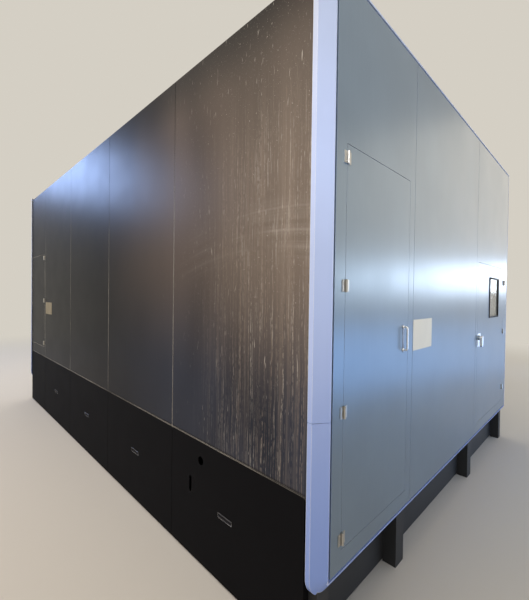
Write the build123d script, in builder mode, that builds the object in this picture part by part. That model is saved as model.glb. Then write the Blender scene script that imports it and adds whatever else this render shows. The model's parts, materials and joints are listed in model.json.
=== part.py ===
from build123d import *
import os

os.makedirs("parts", exist_ok=True)

# A vertical machining center with a travelling column, inside a full sheet-metal enclosure.
# Lengths are in mm. +X is the operator's right, -Y the front and +Z up. The origin is on the
# floor, midway between the four anchor plates.

# Driving dimensions: the enclosure
half_width = 2625.0  # from the middle to each side face
half_depth = 1780.0  # from the middle to the side trims' front and rear edges
panel_recess = 10.0  # front and rear panels stand this far inside the trims' edges
slab_bottom = 293.0
slab_top = 2937.0
roof_top = 2915.0
sheet = 2.0
fold = 36.0  # depth of every folded panel
seat = 0.3  # play between a bolted-on piece and what carries it
seam = 4.0  # open joint between neighbouring panels
floor_gap = 12.0

# Side trims: a bevelled, rounded band round each side
bevel_run = 66.0  # across the side face
bevel_depth = 44.0  # into the machine
trim_depth = 67.0
trim_top_band = 8.0  # the top has no bevel
trim_wall = 3.0
trim_lip = 6.0
trim_corner = 100.0
trim_split_height = 1045.0
trim_split_gap = 2.0
groove = 12.0  # dark joint between a trim and the side panels
trim_to_rear_gap = 6.0

# Rear panels
end_bays = (1164.0, 831.0)  # from each side face to the first and the last seam
seam_count = 4
rear_split_height = 721.0
lower_inset = 10.0
grip_width = 116.0
grip_height = 28.0
grip_depth = 21.0
grip_sheet = 1.5
grip_centre_height = 372.0
cable_hole_radius = 25.0
cable_hole_inset = 843.0  # from the left side face
cable_hole_at = (cable_hole_inset - half_width, 607.0)
cable_slot = (25.0, 94.0)
cable_slot_inset = 948.0
cable_slot_at = (cable_slot_inset - half_width, 436.0)

# Side panels and their doors; each span is low and high
rear_side_seam = 880.0
front_side_seam = -473.0
service_door_y = (951.0, 1613.0)
service_door_z = (463.0, 2224.0)
service_hinge_heights = (2165.0, 1615.0, 1066.0, 513.0)
magazine_door_y = (-1539.0, -533.0)
magazine_door_z = (463.0, 1881.0)
magazine_hinge_heights = (1735.0, 1215.0, 610.0)
magazine_window_y = (-1296.0, -938.0)
magazine_window_z = (1386.0, 1762.0)
rear_door_insets = (775.0, 94.0)  # from the right side face
rear_door_x = (half_width - rear_door_insets[0], half_width - rear_door_insets[1])
rear_door_z = (846.0, 2069.0)
rear_hinge_heights = (2023.0, 1460.0, 896.0)
door_gap = 3.0
post_lap = 20.0  # how far the frame shows behind a door's edge
head_lap = 10.0
window_frame_width = 14.0
window_frame_proud = 6.0
window_frame_reach = 14.0
glass_setback = 4.0
glass_thickness = 6.0

# Hinges, handle and latch
leaf_width = 26.0
leaf_height = 52.0
leaf_thickness = 3.0
knuckle_radius = 6.5
knuckle_clearance = 0.5
hinge_pin_radius = 3.0
pin_clearance = 0.1
pull_y = 1010.0
pull_z = (1266.0, 1413.0)
pull_reach = 24.0
pull_radius = 5.5
pull_foot_radius = 10.0
latch_y = -560.0
latch_z = 1219.0
latch_length = 63.0
latch_boss_radius = 22.0
latch_boss_depth = 16.0
latch_lever_thickness = 22.0
latch_edge = 3.0
latch_root = 19.0
latch_tip = 16.0

# Enclosure frame: welded square tube
post = 80.0
door_post = 100.0
tube_wall = 4.0
rail_tube_height = 80.0

# Front: two sliding doors between side panels, a header and an apron
front_door_z = (905.0, 2245.0)
front_door_outer = half_width / 2
front_door_split = 3.0
front_opening = front_door_outer - 22.0
front_door_depth = 40.0
front_door_clearance = 10.0
front_window_x = (250.0, front_door_outer - 262.0)
front_window_z = (1240.0, 1940.0)
front_handle_x = 60.0
front_handle_z = (1150.0, 1650.0)
front_handle_radius = 14.0
front_handle_reach = 40.0
front_handle_foot_inset = 60.0

# Bed, table and the anchor plates
bed_end_margin = 140.0  # bed beyond the column at the end of its travel
bed_to_side = 535.0  # room beyond the bed's end for the hydraulic unit
bed_bottom = 110.0
bed_front = -1240.0
bed_rear = 1230.0
bed_window_width = 300.0
bed_window_height = 260.0
bed_window_corner = 65.0
bed_cells = 9
table_back = -430.0
gutter_height = 540.0
rail_seat_height = 700.0
screw_trough_depth = 90.0
screw_trough_height = rail_seat_height - screw_trough_depth
rail_bank_front = 200.0
cast_wall = 40.0
table_half_length = 1750.0
table_front = -1250.0
table_bottom = 740.0
table_top = 880.0
slot_pitch = 160.0
slot_count = 5
slot_width = 18.0
slot_depth = 30.0
slot_foot_width = 30.0
slot_foot_height = 13.0
foot_radius = 80.0
foot_thickness = 30.0
foot_stud_radius = 20.0
foot_nut_height = 24.0
foot_nut_radius = 34.0
foot_end_inset = 190.0  # from the bed's end to the outer feet
foot_y = 1130.0
foot_boss_radius = 95.0
foot_boss_height = 80.0
anchor_offset = 90.0
anchor_hole_radius = 13.0
anchor_plate_radius = 60.0

# Linear guides, shared by every axis
rail_width = 45.0
rail_height = 44.0
rail_waist = 6.0
rail_foot_height = 12.0
rail_waist_z = (20.0, 26.0)
rail_head_height = 33.0
block_width = 104.0
block_length = 120.0
block_top = 70.0
block_lift = 12.0
guide_clearance = 0.5

# Column, ram and head
y_travel = 400.0
z_travel = 680.0
column_y = 700.0
x_rail_gap = 740.0  # between the two X rails
column_half_width = 450.0
x_travel = half_width - bed_to_side - bed_end_margin - column_half_width
column_half_depth = 460.0
column_foot = 150.0
column_top = 1880.0
column_top_half_width = 310.0
column_top_half_depth = 450.0
column_wall = 35.0
column_corner = 40.0
column_cap = 60.0
column_window = (420.0, 300.0)
column_window_corner = 80.0
column_window_rises = (250.0, 640.0)
screw_radius = 31.5
screw_clearance = 0.5
nut_radius = 62.0
nut_half_length = 90.0
screw_bearing_length = 60.0
ram_half_width = 240.0
ram_rear = 1240.0
ram_tail = (420.0, 160.0)  # length and drop of the slope at the ram's rear
ram_depth = 475.0
ram_rail_gap = 340.0
ram_plate_thickness = 60.0
ram_plate_bottom = 1740.0
ram_cell_pitch = 400.0
ram_cell_half = 170.0
ram_window = (230.0, 170.0)
spindle_y = -840.0
head_half_width = 190.0
head_half_depth = 190.0
head_bottom = 1800.0
head_top = 2780.0
head_rail_gap = 300.0
head_corner = 90.0
head_slot = (180.0, 14.0)
head_slot_count = 7
head_slot_pitch = 34.0
nose_radius = 105.0
nose_height = 60.0
spindle_radius = 64.0
spindle_clearance = 0.5
spindle_engagement = 90.0
spindle_flange_radius = 80.0
spindle_flange_height = 38.0
taper_gauge_radius = 34.9
taper_depth = 101.0
taper_ratio = 7.0 / 24.0
drive_key = (20.0, 25.0)
drive_key_height = 8.0

# Tool magazine: a carousel on a slide
magazine_inset = 465.0  # from the left side face
magazine_x = magazine_inset - half_width
magazine_y = -890.0
tool_circle = 360.0
tool_count = 12
carousel_z = 1650.0
carousel_thickness = 16.0
carousel_radius = 318.0
fork_length = 74.0
fork_width = 92.0
fork_root = 10.0  # how far a fork runs into the carousel's disc
fork_throat_lap = 7.0  # how far each tip closes in on the bore
holder_flange_radius = 44.0
holder_groove_radius = 37.0
holder_top_radius = 17.0
holder_shank_radius = 31.0
holder_shank_length = 68.0
holder_shank_tip_radius = 24.8
holder_flange_walls = (12.0, 6.0)  # below and above the groove
holder_cone_short = 12.0  # the cone is this much shorter than the spindle's taper
cutter_radius = 10.0
cutter_length = 90.0
fork_clearance = 0.3
lightening_circle = 184.0
lightening_radius = 54.0
magazine_beam_bottom = 1885.0
magazine_beam_height = 100.0
magazine_beam_width = 160.0
magazine_beam_reach = 865.0
magazine_beam_end = magazine_beam_reach - half_width
carriage_thickness = 50.0
carriage_half_length = 200.0
carriage_half_width = 150.0
carriage_block_places = (-140.0, 20.0)
hub_radius = 46.0
hub_bearing_gap = 0.3
hub_collar_height = 24.0

# Chip trough and auger
trough_y = -1420.0
trough_z = 470.0
trough_radius = 108.0
trough_sheet = 3.0
trough_rim = 650.0
trough_lip = 30.0
trough_apron = (-40.0, 20.0, 60.0)  # the rear apron's foot, bend and top, above the rim
trough_end_drop = 60.0
trough_margin = 50.0  # the trough ends this far inside the bed's ends
auger_radius = 92.0
auger_tube_radius = 28.0
auger_pitch = 240.0
auger_end_room = 200.0  # at least this much bare tube at each end
auger_flight = 5.0
gearmotor_radius = 85.0
gearmotor_length = 230.0
gearmotor_flange = (200.0, 24.0)

# Splash wall, electrical cabinet and hydraulic unit
splash_y = -103.0
splash_top = 1760.0
splash_foot = 80.0
splash_lip = 30.0
gusset_height = 400.0
cabinet_y = (1240.0, 1660.0)
cabinet_wall = 2.5
hydraulic_inset = 135.0  # from the left side face
hydraulic_x = (hydraulic_inset - half_width, bed_to_side - half_width)
hydraulic_y = (990.0, 1590.0)
hydraulic_tank_z = (60.0, 520.0)
manifold_length = 200.0
manifold_top = 640.0
valve_radius = 26.0
valve_height = 170.0
pump_radius = 80.0
pump_height = 260.0
pump_cap_height = 50.0
drive_width = 92.0
drive_height = 380.0
drive_depth = 217.0
drive_count = 5
duct_depth = 70.0
duct_height = 60.0

# Operator's pendant
pendant_pivot_x = half_width - 725.0
pendant_pivot_z = 2360.0
pendant_reach = 520.0
pendant_standoff = 230.0
arm_radius = 24.0
arm_drop = 560.0
pendant_width = 460.0
pendant_height = 640.0
pendant_depth = 110.0
pendant_corner = 24.0
pendant_border = 40.0
pendant_recess = 4.0
screen_drop = (50.0, 340.0)  # below the pendant's top
keys_rise = (150.0, 280.0)  # above the pendant's bottom
key_size = (26.0, 24.0)
key_pitch = 32.0
button_radius = 14.0
button_travel = 4.0
button_strip = 75.0
button_stem_radius = 8.4
button_stem_depth = 8.0
knob_radius = 22.0
knob_grip_radius = 16.0
# each button's name, place along the strip, cap radius and cap height
button_places = (
    ("emergency_stop", -150.0, 1.7 * button_radius, 20.0),
    ("cycle_start", -60.0, button_radius, 9.0),
    ("feed_hold", 10.0, button_radius, 9.0),
)

# Planes whose local X and Y run across a face, and whose normal points into the machine
rear_face_y = half_depth - panel_recess
left_face = Plane.YZ.offset(-half_width)
rear_face = Plane.XZ.offset(-rear_face_y)
front_face = Plane(origin=(0, -rear_face_y, 0), x_dir=(-1, 0, 0), z_dir=(0, 1, 0))
roof_face = Plane(origin=(0, 0, roof_top), x_dir=(1, 0, 0), z_dir=(0, 0, -1))

# Spans that follow from the driving dimensions
rear_half = half_width - trim_depth - trim_to_rear_gap
side_edge = half_depth - bevel_run - trim_lip - groove
side_low = slab_bottom + bevel_run + trim_lip + groove
side_high = slab_top - trim_top_band - groove
frame_x = half_width - fold - seat  # outer faces of the frame's side tubes
frame_y = rear_face_y - fold - seat  # outer faces of the frame's front and rear tubes
frame_top = roof_top - fold - seat
bay = (2 * half_width - sum(end_bays)) / (seam_count - 1)
rear_seams = [end_bays[0] - half_width + n * bay for n in range(seam_count)]
column_base = rail_seat_height + block_top
head_back = spindle_y + head_half_depth
plate_front = head_back + block_top
ram_bottom = column_top + block_top
bed_half_length = x_travel + column_half_width + bed_end_margin
foot_x = bed_half_length - foot_end_inset
trough_half_length = bed_half_length - trough_margin
auger_turns = int(2 * (trough_half_length - auger_end_room) / auger_pitch)


def middle(span):
    """The middle of a low and high pair."""
    return (span[0] + span[1]) / 2


def rectangle(x_span, y_span, mode=Mode.ADD):
    """Add or cut a rectangle between two spans in the current sketch."""
    with Locations((middle(x_span), middle(y_span))):
        Rectangle(x_span[1] - x_span[0], y_span[1] - y_span[0], mode=mode)


def block(x_span, y_span, z_span, mode=Mode.ADD):
    """Add or cut a block between three spans in the current part."""
    spans = (x_span, y_span, z_span)
    with Locations(tuple(middle(span) for span in spans)):
        Box(*(span[1] - span[0] for span in spans), mode=mode)


def grown(span, amount):
    """A span made longer at both ends."""
    return (span[0] - amount, span[1] + amount)


def flipped(span):
    """A span seen from the other side."""
    return (-span[1], -span[0])


def save(part, name):
    """Label a finished piece and write it."""
    part.label = name
    export_step(part, f"parts/{name}.step")


def folded_panel(face, x_span, y_span, openings=(), depth=fold):
    """A sheet panel, folded back along its outer edges and round each opening."""
    with BuildPart() as panel:
        with BuildSketch(face) as outline:
            rectangle(x_span, y_span)
            for opening in openings:
                rectangle(*opening, mode=Mode.SUBTRACT)
        extrude(amount=depth)
        with BuildSketch(face.offset(sheet)):
            offset(outline.sketch_local, amount=-sheet, kind=Kind.INTERSECTION)
        extrude(amount=depth - sheet, mode=Mode.SUBTRACT)
    return panel.part


def square_tube(start, end, width=post, height=post):
    """A length of rectangular tube along X, Y or Z, from the middle of one end to the other."""
    along = Vector(*end) - Vector(*start)
    across = Vector(1, 0, 0) if abs(along.X) < 1 else Vector(0, 1, 0)
    section = Plane(origin=start, x_dir=across, z_dir=along.normalized())
    with BuildPart() as tube:
        with BuildSketch(section):
            Rectangle(width, height)
            Rectangle(width - 2 * tube_wall, height - 2 * tube_wall, mode=Mode.SUBTRACT)
        extrude(amount=along.length)
    return tube.part


def rail_outline(clearance=0.0, mode=Mode.ADD):
    """A profile rail's section: a waisted bar standing on its seat."""
    half = rail_width / 2 + clearance
    waist = half - rail_waist
    top = rail_height + clearance
    Polygon(
        (-half, 0), (half, 0), (half, rail_foot_height), (waist, rail_waist_z[0]),
        (waist, rail_waist_z[1]), (half, rail_head_height), (half, top), (-half, top),
        (-half, rail_head_height), (-waist, rail_waist_z[1]), (-waist, rail_waist_z[0]),
        (-half, rail_foot_height), align=None, mode=mode,
    )


def guide_rail(seat_plane, length):
    """A rail on its seat: the plane's Y points off the seat and its normal along the travel."""
    with BuildPart() as rail:
        with BuildSketch(seat_plane):
            rail_outline()
        extrude(amount=length)
    return rail.part


def guide_block(seat_plane):
    """A carriage block that wraps a rail on the given seat."""
    with BuildPart() as carriage:
        with BuildSketch(seat_plane):
            rectangle((-block_width / 2, block_width / 2), (block_lift, block_top - seat))
            rail_outline(guide_clearance, Mode.SUBTRACT)
        extrude(amount=block_length / 2, both=True)
    return carriage.part


def hinge_leaf(origin, toward, outward, barrels):
    """One leaf of a butt hinge. origin is the pin's foot on the panel face, toward points
    across the leaf, outward off the panel, and barrels lists the knuckle's low and high ends."""
    pin = knuckle_radius + knuckle_clearance
    sign = Vector(0, 0, 1).cross(Vector(*toward)).dot(Vector(*outward))
    low = Plane(origin=origin, x_dir=toward, z_dir=(0, 0, 1)).offset(-leaf_height / 2)
    clear = knuckle_radius + knuckle_clearance
    with BuildPart() as leaf:
        with BuildSketch(low):
            rectangle((clear, leaf_width), sorted((0, sign * leaf_thickness)))
        extrude(amount=leaf_height)
        for start, stop in barrels:
            with BuildSketch(low.offset(start)):
                rectangle((0, clear), sorted((sign * knuckle_clearance, sign * leaf_thickness)))
                with Locations((0, sign * pin)):
                    Circle(knuckle_radius)
                    Circle(hinge_pin_radius + pin_clearance, mode=Mode.SUBTRACT)
            extrude(amount=stop - start)
    return leaf.part


def hinge_pin(origin, outward):
    """A headed pin through a hinge's knuckles."""
    centre = Vector(*origin) + Vector(*outward) * (knuckle_radius + knuckle_clearance)
    low = Plane(origin=centre, z_dir=(0, 0, 1)).offset(-leaf_height / 2 - 2)
    with BuildPart() as pin:
        with BuildSketch(low):
            Circle(hinge_pin_radius)
        extrude(amount=leaf_height + 2 + seat)
        with BuildSketch(low.offset(leaf_height + 2 + seat)):
            Circle(hinge_pin_radius + 2)
        extrude(amount=2)
    return pin.part


third = leaf_height / 3
frame_barrels = ((0, third - seat), (2 * third + seat, leaf_height))
door_barrels = ((third, 2 * third),)


# Side trims
def trim_block(inset):
    """The trim's outer form, moved in by inset on every face."""
    face = left_face.offset(inset)
    with BuildPart() as body:
        with BuildSketch(face) as outline:
            rectangle(
                (-half_depth + inset, half_depth - inset), (slab_bottom + inset, slab_top - inset)
            )
            fillet(outline.vertices().group_by(Axis.Y)[0], trim_corner - inset)
        extrude(amount=trim_depth)
        front = body.faces().sort_by(Axis.X)[0]
        bevelled = front.edges().sort_by(Axis.Z)[:-1]
        chamfer(bevelled, length=bevel_run, length2=bevel_depth, reference=front)
    return body.part


trim_outer = trim_block(0)
trim_inner = trim_block(trim_wall)
window_half = half_depth - bevel_run - trim_lip
window_low = slab_bottom + bevel_run + trim_lip
window_high = slab_top - trim_top_band
trim_window = ((-window_half, window_half), (window_low, window_high))
trim_fold = (grown(trim_window[0], trim_wall), grown(trim_window[1], trim_wall))

with BuildPart() as trim_ring:
    add(trim_outer)
    add(trim_inner, mode=Mode.SUBTRACT)
    with BuildSketch(left_face):
        rectangle(*trim_fold)
    extrude(amount=fold)
    with BuildSketch(left_face):
        rectangle(*trim_window)
    extrude(amount=trim_depth, mode=Mode.SUBTRACT)

post_x = frame_x - post / 2
post_y = frame_y - post / 2
service_post_y = service_door_y[0] + post_lap - door_post / 2
magazine_post_y = magazine_door_y[1] - post_lap + door_post / 2
notch_play = 1.0
post_rows = (
    (-post_y, post), (magazine_post_y, door_post), (service_post_y, door_post), (post_y, post),
)
with BuildPart() as notched_ring:
    add(trim_ring.part)
    for y, width in post_rows:
        with Locations((-post_x, y, slab_bottom)):
            Box(post + 2 * notch_play, width + 2 * notch_play, trim_corner, mode=Mode.SUBTRACT)

with BuildPart() as trim_left_upper:
    add(notched_ring.part)
    split(bisect_by=Plane.XY.offset(trim_split_height + trim_split_gap / 2), keep=Keep.TOP)

with BuildPart() as trim_left_lower:
    add(notched_ring.part)
    split(bisect_by=Plane.XY.offset(trim_split_height - trim_split_gap / 2), keep=Keep.BOTTOM)

with BuildPart() as trim_right:
    mirror(trim_left_upper.part, about=Plane.YZ)
    mirror(trim_left_lower.part, about=Plane.YZ)

save(trim_left_upper.part, "trim_left_upper")
save(trim_left_lower.part, "trim_left_lower")
save(trim_right.part, "trim_right")

# Side panels, with the openings that the service door and the magazine door close
side_z = (side_low, side_high)
service_opening = (grown(service_door_y, door_gap), grown(service_door_z, door_gap))
magazine_opening = (grown(magazine_door_y, door_gap), grown(magazine_door_z, door_gap))
side_bays = (
    (-side_edge, front_side_seam - seam / 2),
    (front_side_seam + seam / 2, rear_side_seam - seam / 2),
    (rear_side_seam + seam / 2, side_edge),
)
panel_left_front = folded_panel(left_face, side_bays[0], side_z, [magazine_opening])
panel_left_middle = folded_panel(left_face, side_bays[1], side_z)
panel_left_rear = folded_panel(left_face, side_bays[2], side_z, [service_opening])
save(panel_left_front, "panel_left_front")
save(panel_left_middle, "panel_left_middle")
save(panel_left_rear, "panel_left_rear")

plain_side_panels = [folded_panel(left_face, span, side_z) for span in side_bays]
with BuildPart() as panels_right:
    for panel in plain_side_panels:
        mirror(panel, about=Plane.YZ)
save(panels_right.part, "panels_right")

# Rear panels: tall trays over a row of lower ones, and a framed door in the last bay
upper_z = (rear_split_height + seam / 2, roof_top)
edges = [-rear_half] + rear_seams + [rear_half]
spans = [(low + seam / 2, high - seam / 2) for low, high in zip(edges, edges[1:])]
spans[0] = (-rear_half, spans[0][1])
spans[-1] = (spans[-1][0], rear_half)
rear_door_opening = (grown(rear_door_x, door_gap), grown(rear_door_z, door_gap))
upper_trays = [folded_panel(rear_face, span, upper_z) for span in spans[:-1]]
upper_trays.append(folded_panel(rear_face, spans[-1], upper_z, [rear_door_opening]))
with BuildPart() as rear_panels:
    for tray in upper_trays:
        add(tray)
save(rear_panels.part, "rear_panels")

lower_z = (floor_gap, rear_split_height - seam / 2)
lower_spans = list(spans)
lower_spans[0] = (-rear_half + lower_inset, spans[0][1])
lower_spans[-1] = (spans[-1][0], rear_half - lower_inset)
lower_trays = [folded_panel(rear_face, span, lower_z) for span in lower_spans]
grip_centres = [(middle(span), grip_centre_height) for span in spans[:-1]]
with BuildPart() as rear_lower_panels:
    for tray in lower_trays:
        add(tray)
    with BuildSketch(rear_face):
        with Locations(*grip_centres):
            Rectangle(grip_width, grip_height)
        with Locations(cable_hole_at):
            Circle(cable_hole_radius)
        with Locations(cable_slot_at):
            SlotOverall(cable_slot[1], cable_slot[0], rotation=90)
    extrude(amount=sheet, mode=Mode.SUBTRACT)
save(rear_lower_panels.part, "rear_lower_panels")

# Recessed grips: pressed cups with a rolled upper lip
cup_size = (grip_width - 2 * seat, grip_height - 2 * seat)
lip_radius = 2.5
with BuildPart() as panel_grips:
    for centre in grip_centres:
        with BuildSketch(rear_face):
            with Locations(centre):
                RectangleRounded(cup_size[0], cup_size[1], 3)
        extrude(amount=grip_depth)
        with BuildSketch(rear_face):
            with Locations(centre):
                Rectangle(cup_size[0] - 2 * grip_sheet, cup_size[1] - 2 * grip_sheet)
        extrude(amount=grip_depth - grip_sheet, mode=Mode.SUBTRACT)
        lip_height = centre[1] + cup_size[1] / 2 - lip_radius
        with BuildSketch(Plane.YZ.offset(centre[0] - cup_size[0] / 2)):
            with Locations((rear_face_y, lip_height)):
                Circle(lip_radius)
        extrude(amount=cup_size[0])
save(panel_grips.part, "panel_grips")

# Roof
roof_trays = [
    folded_panel(roof_face, span, (-frame_y, frame_y - seam)) for span in spans
]
with BuildPart() as roof_panels:
    for tray in roof_trays:
        add(tray)
save(roof_panels.part, "roof_panels")

# Front panels: header, apron and the two fixed panels beside the sliding doors
header_z = (front_door_z[1] + seam, roof_top)
apron_z = (floor_gap, front_door_z[0] - seam)
side_span = (front_opening, rear_half)
front_trays = [
    folded_panel(front_face, (-rear_half, rear_half), header_z),
    folded_panel(front_face, (-front_opening + seam, front_opening - seam), apron_z),
]
for span in (side_span, flipped(side_span)):
    front_trays.append(folded_panel(front_face, span, (floor_gap, front_door_z[1])))
with BuildPart() as front_panels:
    for tray in front_trays:
        add(tray)
save(front_panels.part, "front_panels")

# Enclosure frame: posts on the floor, beams between them
post_tops = frame_top - rail_tube_height
beam_x = frame_x - post  # inner faces of the side tubes
post_parts = [
    square_tube((x, y, 0), (x, y, post_tops), post, width)
    for x in (-post_x, post_x)
    for y, width in post_rows
]
post_parts += [square_tube((x, post_y, 0), (x, post_y, post_tops)) for x in rear_seams]
with BuildPart() as frame_posts:
    for part in post_parts:
        add(part)
save(frame_posts.part, "frame_posts")

beam_top_z = frame_top - rail_tube_height / 2
door_head_z = front_door_z[1] + seat + rail_tube_height / 2
door_sill_z = front_door_z[0] - seat - rail_tube_height / 2
service_head_z = service_door_z[1] - head_lap + rail_tube_height / 2
magazine_head_z = magazine_door_z[1] - head_lap + rail_tube_height / 2
sill_z = service_door_z[0] + head_lap - rail_tube_height / 2
split_z = rear_split_height
side_runs = [
    (-post_y + post / 2, magazine_post_y - door_post / 2),
    (magazine_post_y + door_post / 2, service_post_y - door_post / 2),
    (service_post_y + door_post / 2, post_y - post / 2),
]
beam_parts = []
for x in (-post_x, post_x):
    beam_parts.append(square_tube((x, -frame_y, beam_top_z), (x, frame_y, beam_top_z)))
    for run in side_runs:
        beam_parts.append(square_tube((x, run[0], sill_z), (x, run[1], sill_z)))
beam_parts.append(
    square_tube((-post_x, side_runs[0][0], magazine_head_z), (-post_x, side_runs[0][1], magazine_head_z))
)
beam_parts.append(
    square_tube((-post_x, side_runs[2][0], service_head_z), (-post_x, side_runs[2][1], service_head_z))
)
for y in (-post_y, post_y):
    beam_parts.append(square_tube((-beam_x, y, beam_top_z), (beam_x, y, beam_top_z)))
for z in (door_head_z, door_sill_z):
    beam_parts.append(square_tube((-beam_x, -post_y, z), (beam_x, -post_y, z)))
stops = [-beam_x] + [x + s for x in rear_seams for s in (-post / 2, post / 2)] + [beam_x]
for low, high in zip(stops[::2], stops[1::2]):
    beam_parts.append(square_tube((low, post_y, split_z), (high, post_y, split_z)))
for x in rear_seams:
    beam_parts.append(square_tube((x, -post_y + post / 2, beam_top_z), (x, post_y - post / 2, beam_top_z)))
# ties that join the frame to the bed
tie_z = 400.0
for x in rear_seams:
    beam_parts.append(square_tube((x, bed_rear + seat, tie_z), (x, post_y - post / 2, tie_z)))
with BuildPart() as frame_beams:
    for part in beam_parts:
        add(part)
save(frame_beams.part, "frame_beams")

# Dark skirts under the side slabs, set back from the faces
skirt_x = beam_x - seat  # the skirts are fixed to the posts' inner faces
with BuildPart() as left_skirt:
    with BuildSketch(Plane.YZ.offset(-skirt_x)):
        rectangle((-post_y + post / 2 + seat, post_y - post / 2 - seat), (floor_gap, side_low - seam))
    extrude(amount=sheet)
    with BuildSketch(Plane.YZ.offset(-skirt_x)):
        rectangle((-post_y + post / 2 + seat, post_y - post / 2 - seat), (floor_gap, floor_gap + sheet))
    extrude(amount=fold)
with BuildPart() as side_skirts:
    add(left_skirt.part)
    mirror(left_skirt.part, about=Plane.YZ)
save(side_skirts.part, "side_skirts")

# Hinges: the fixed leaves and pins stay with the enclosure, the others ride on the doors
left_out = (-1, 0, 0)
rear_out = (0, 1, 0)
service_hinge_y = service_door_y[1] + door_gap / 2
magazine_hinge_y = magazine_door_y[0] - door_gap / 2
rear_hinge_x = rear_door_x[0] - door_gap / 2
service_hinges = [(-half_width, service_hinge_y, z) for z in service_hinge_heights]
magazine_hinges = [(-half_width, magazine_hinge_y, z) for z in magazine_hinge_heights]
rear_hinges = [(rear_hinge_x, rear_face_y, z) for z in rear_hinge_heights]
hinge_rows = (
    ("service_door_leaves", service_hinges, (0, 1, 0), left_out),
    ("magazine_door_leaves", magazine_hinges, (0, -1, 0), left_out),
    ("rear_door_leaves", rear_hinges, (-1, 0, 0), rear_out),
)
fixed_leaves = []
for name, origins, to_frame, out in hinge_rows:
    to_door = tuple(-c for c in to_frame)
    leaves = [hinge_leaf(origin, to_door, out, door_barrels) for origin in origins]
    with BuildPart() as door_leaves:
        for leaf in leaves:
            add(leaf)
    save(door_leaves.part, name)
    for origin in origins:
        fixed_leaves.append(hinge_leaf(origin, to_frame, out, frame_barrels))
        fixed_leaves.append(hinge_pin(origin, out))
with BuildPart() as hinge_frame_leaves:
    for leaf in fixed_leaves:
        add(leaf)
save(hinge_frame_leaves.part, "hinge_frame_leaves")

# Service door with its D pull
service_door = folded_panel(left_face, service_door_y, service_door_z)
save(service_door, "service_door")

pull_ends = grown(pull_z, -pull_foot_radius)
pull_plane = Plane(origin=(-half_width, pull_y, 0), x_dir=(-1, 0, 0), z_dir=(0, 1, 0))
with BuildPart() as service_door_pull:
    with BuildLine(pull_plane) as pull_path:
        FilletPolyline(
            (0, pull_ends[0]), (pull_reach, pull_ends[0]), (pull_reach, pull_ends[1]), (0, pull_ends[1]),
            radius=2 * pull_radius,
        )
    with BuildSketch(Plane(origin=pull_path.line @ 0, z_dir=pull_path.line % 0)):
        Circle(pull_radius)
    sweep(path=pull_path.line)
    for z in pull_ends:
        with BuildSketch(Plane(origin=(-half_width, pull_y, z), z_dir=(-1, 0, 0))):
            Circle(pull_foot_radius)
        extrude(amount=pull_radius, taper=20)
save(service_door_pull.part, "service_door_pull")

# Magazine door, window and swinging latch
window_opening = (magazine_window_y, magazine_window_z)
magazine_tray = folded_panel(left_face, magazine_door_y, magazine_door_z, [window_opening])
latch_axis = Plane(origin=(-half_width, latch_y, latch_z), x_dir=(0, 1, 0), z_dir=(-1, 0, 0))
with BuildPart() as magazine_door:
    add(magazine_tray)
    with BuildSketch(latch_axis):
        Circle(latch_boss_radius)
    extrude(amount=latch_boss_depth, taper=8)
save(magazine_door.part, "magazine_door")

with BuildPart() as magazine_window_frame:
    with BuildSketch(left_face.offset(-window_frame_proud)):
        with Locations((middle(magazine_window_y), middle(magazine_window_z))):
            RectangleRounded(
                magazine_window_y[1] - magazine_window_y[0] + window_frame_width,
                magazine_window_z[1] - magazine_window_z[0] + window_frame_width,
                window_frame_width / 2,
            )
    extrude(amount=window_frame_proud)
    with BuildSketch(left_face.offset(-window_frame_proud)):
        rectangle(grown(magazine_window_y, -seat), grown(magazine_window_z, -seat))
    extrude(amount=window_frame_proud + window_frame_reach)
    with BuildSketch(left_face.offset(-window_frame_proud)):
        half_bar = window_frame_width / 2
        rectangle(grown(magazine_window_y, -half_bar), grown(magazine_window_z, -half_bar))
    extrude(amount=fold + window_frame_proud, mode=Mode.SUBTRACT)
    with BuildSketch(left_face.offset(glass_setback)):
        rectangle(grown(magazine_window_y, -glass_setback), grown(magazine_window_z, -glass_setback))
    extrude(amount=glass_thickness, mode=Mode.SUBTRACT)
save(magazine_window_frame.part, "magazine_window_frame")

glass_inset = glass_setback + seat
with BuildPart() as magazine_window:
    with BuildSketch(left_face.offset(glass_inset)):
        rectangle(grown(magazine_window_y, -glass_inset), grown(magazine_window_z, -glass_inset))
    extrude(amount=glass_thickness - 2 * seat)
save(magazine_window.part, "magazine_window")

lever_start = latch_boss_depth + seat
with BuildPart() as magazine_latch:
    with BuildSketch(latch_axis.offset(lever_start)):
        Circle(latch_boss_radius - latch_edge)
        with BuildLine():
            Polyline(
                (-latch_root, 0), (-latch_tip, latch_length), (latch_tip, latch_length), (latch_root, 0),
                close=True,
            )
        make_face()
        with Locations((0, latch_length)):
            Circle(latch_tip)
    extrude(amount=latch_lever_thickness)
    rim = magazine_latch.faces().sort_by(Axis.X)[0]
    chamfer(rim.edges(), latch_edge)
save(magazine_latch.part, "magazine_latch")

# Rear door
rear_door = folded_panel(rear_face, rear_door_x, rear_door_z)
save(rear_door, "rear_door")

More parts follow.
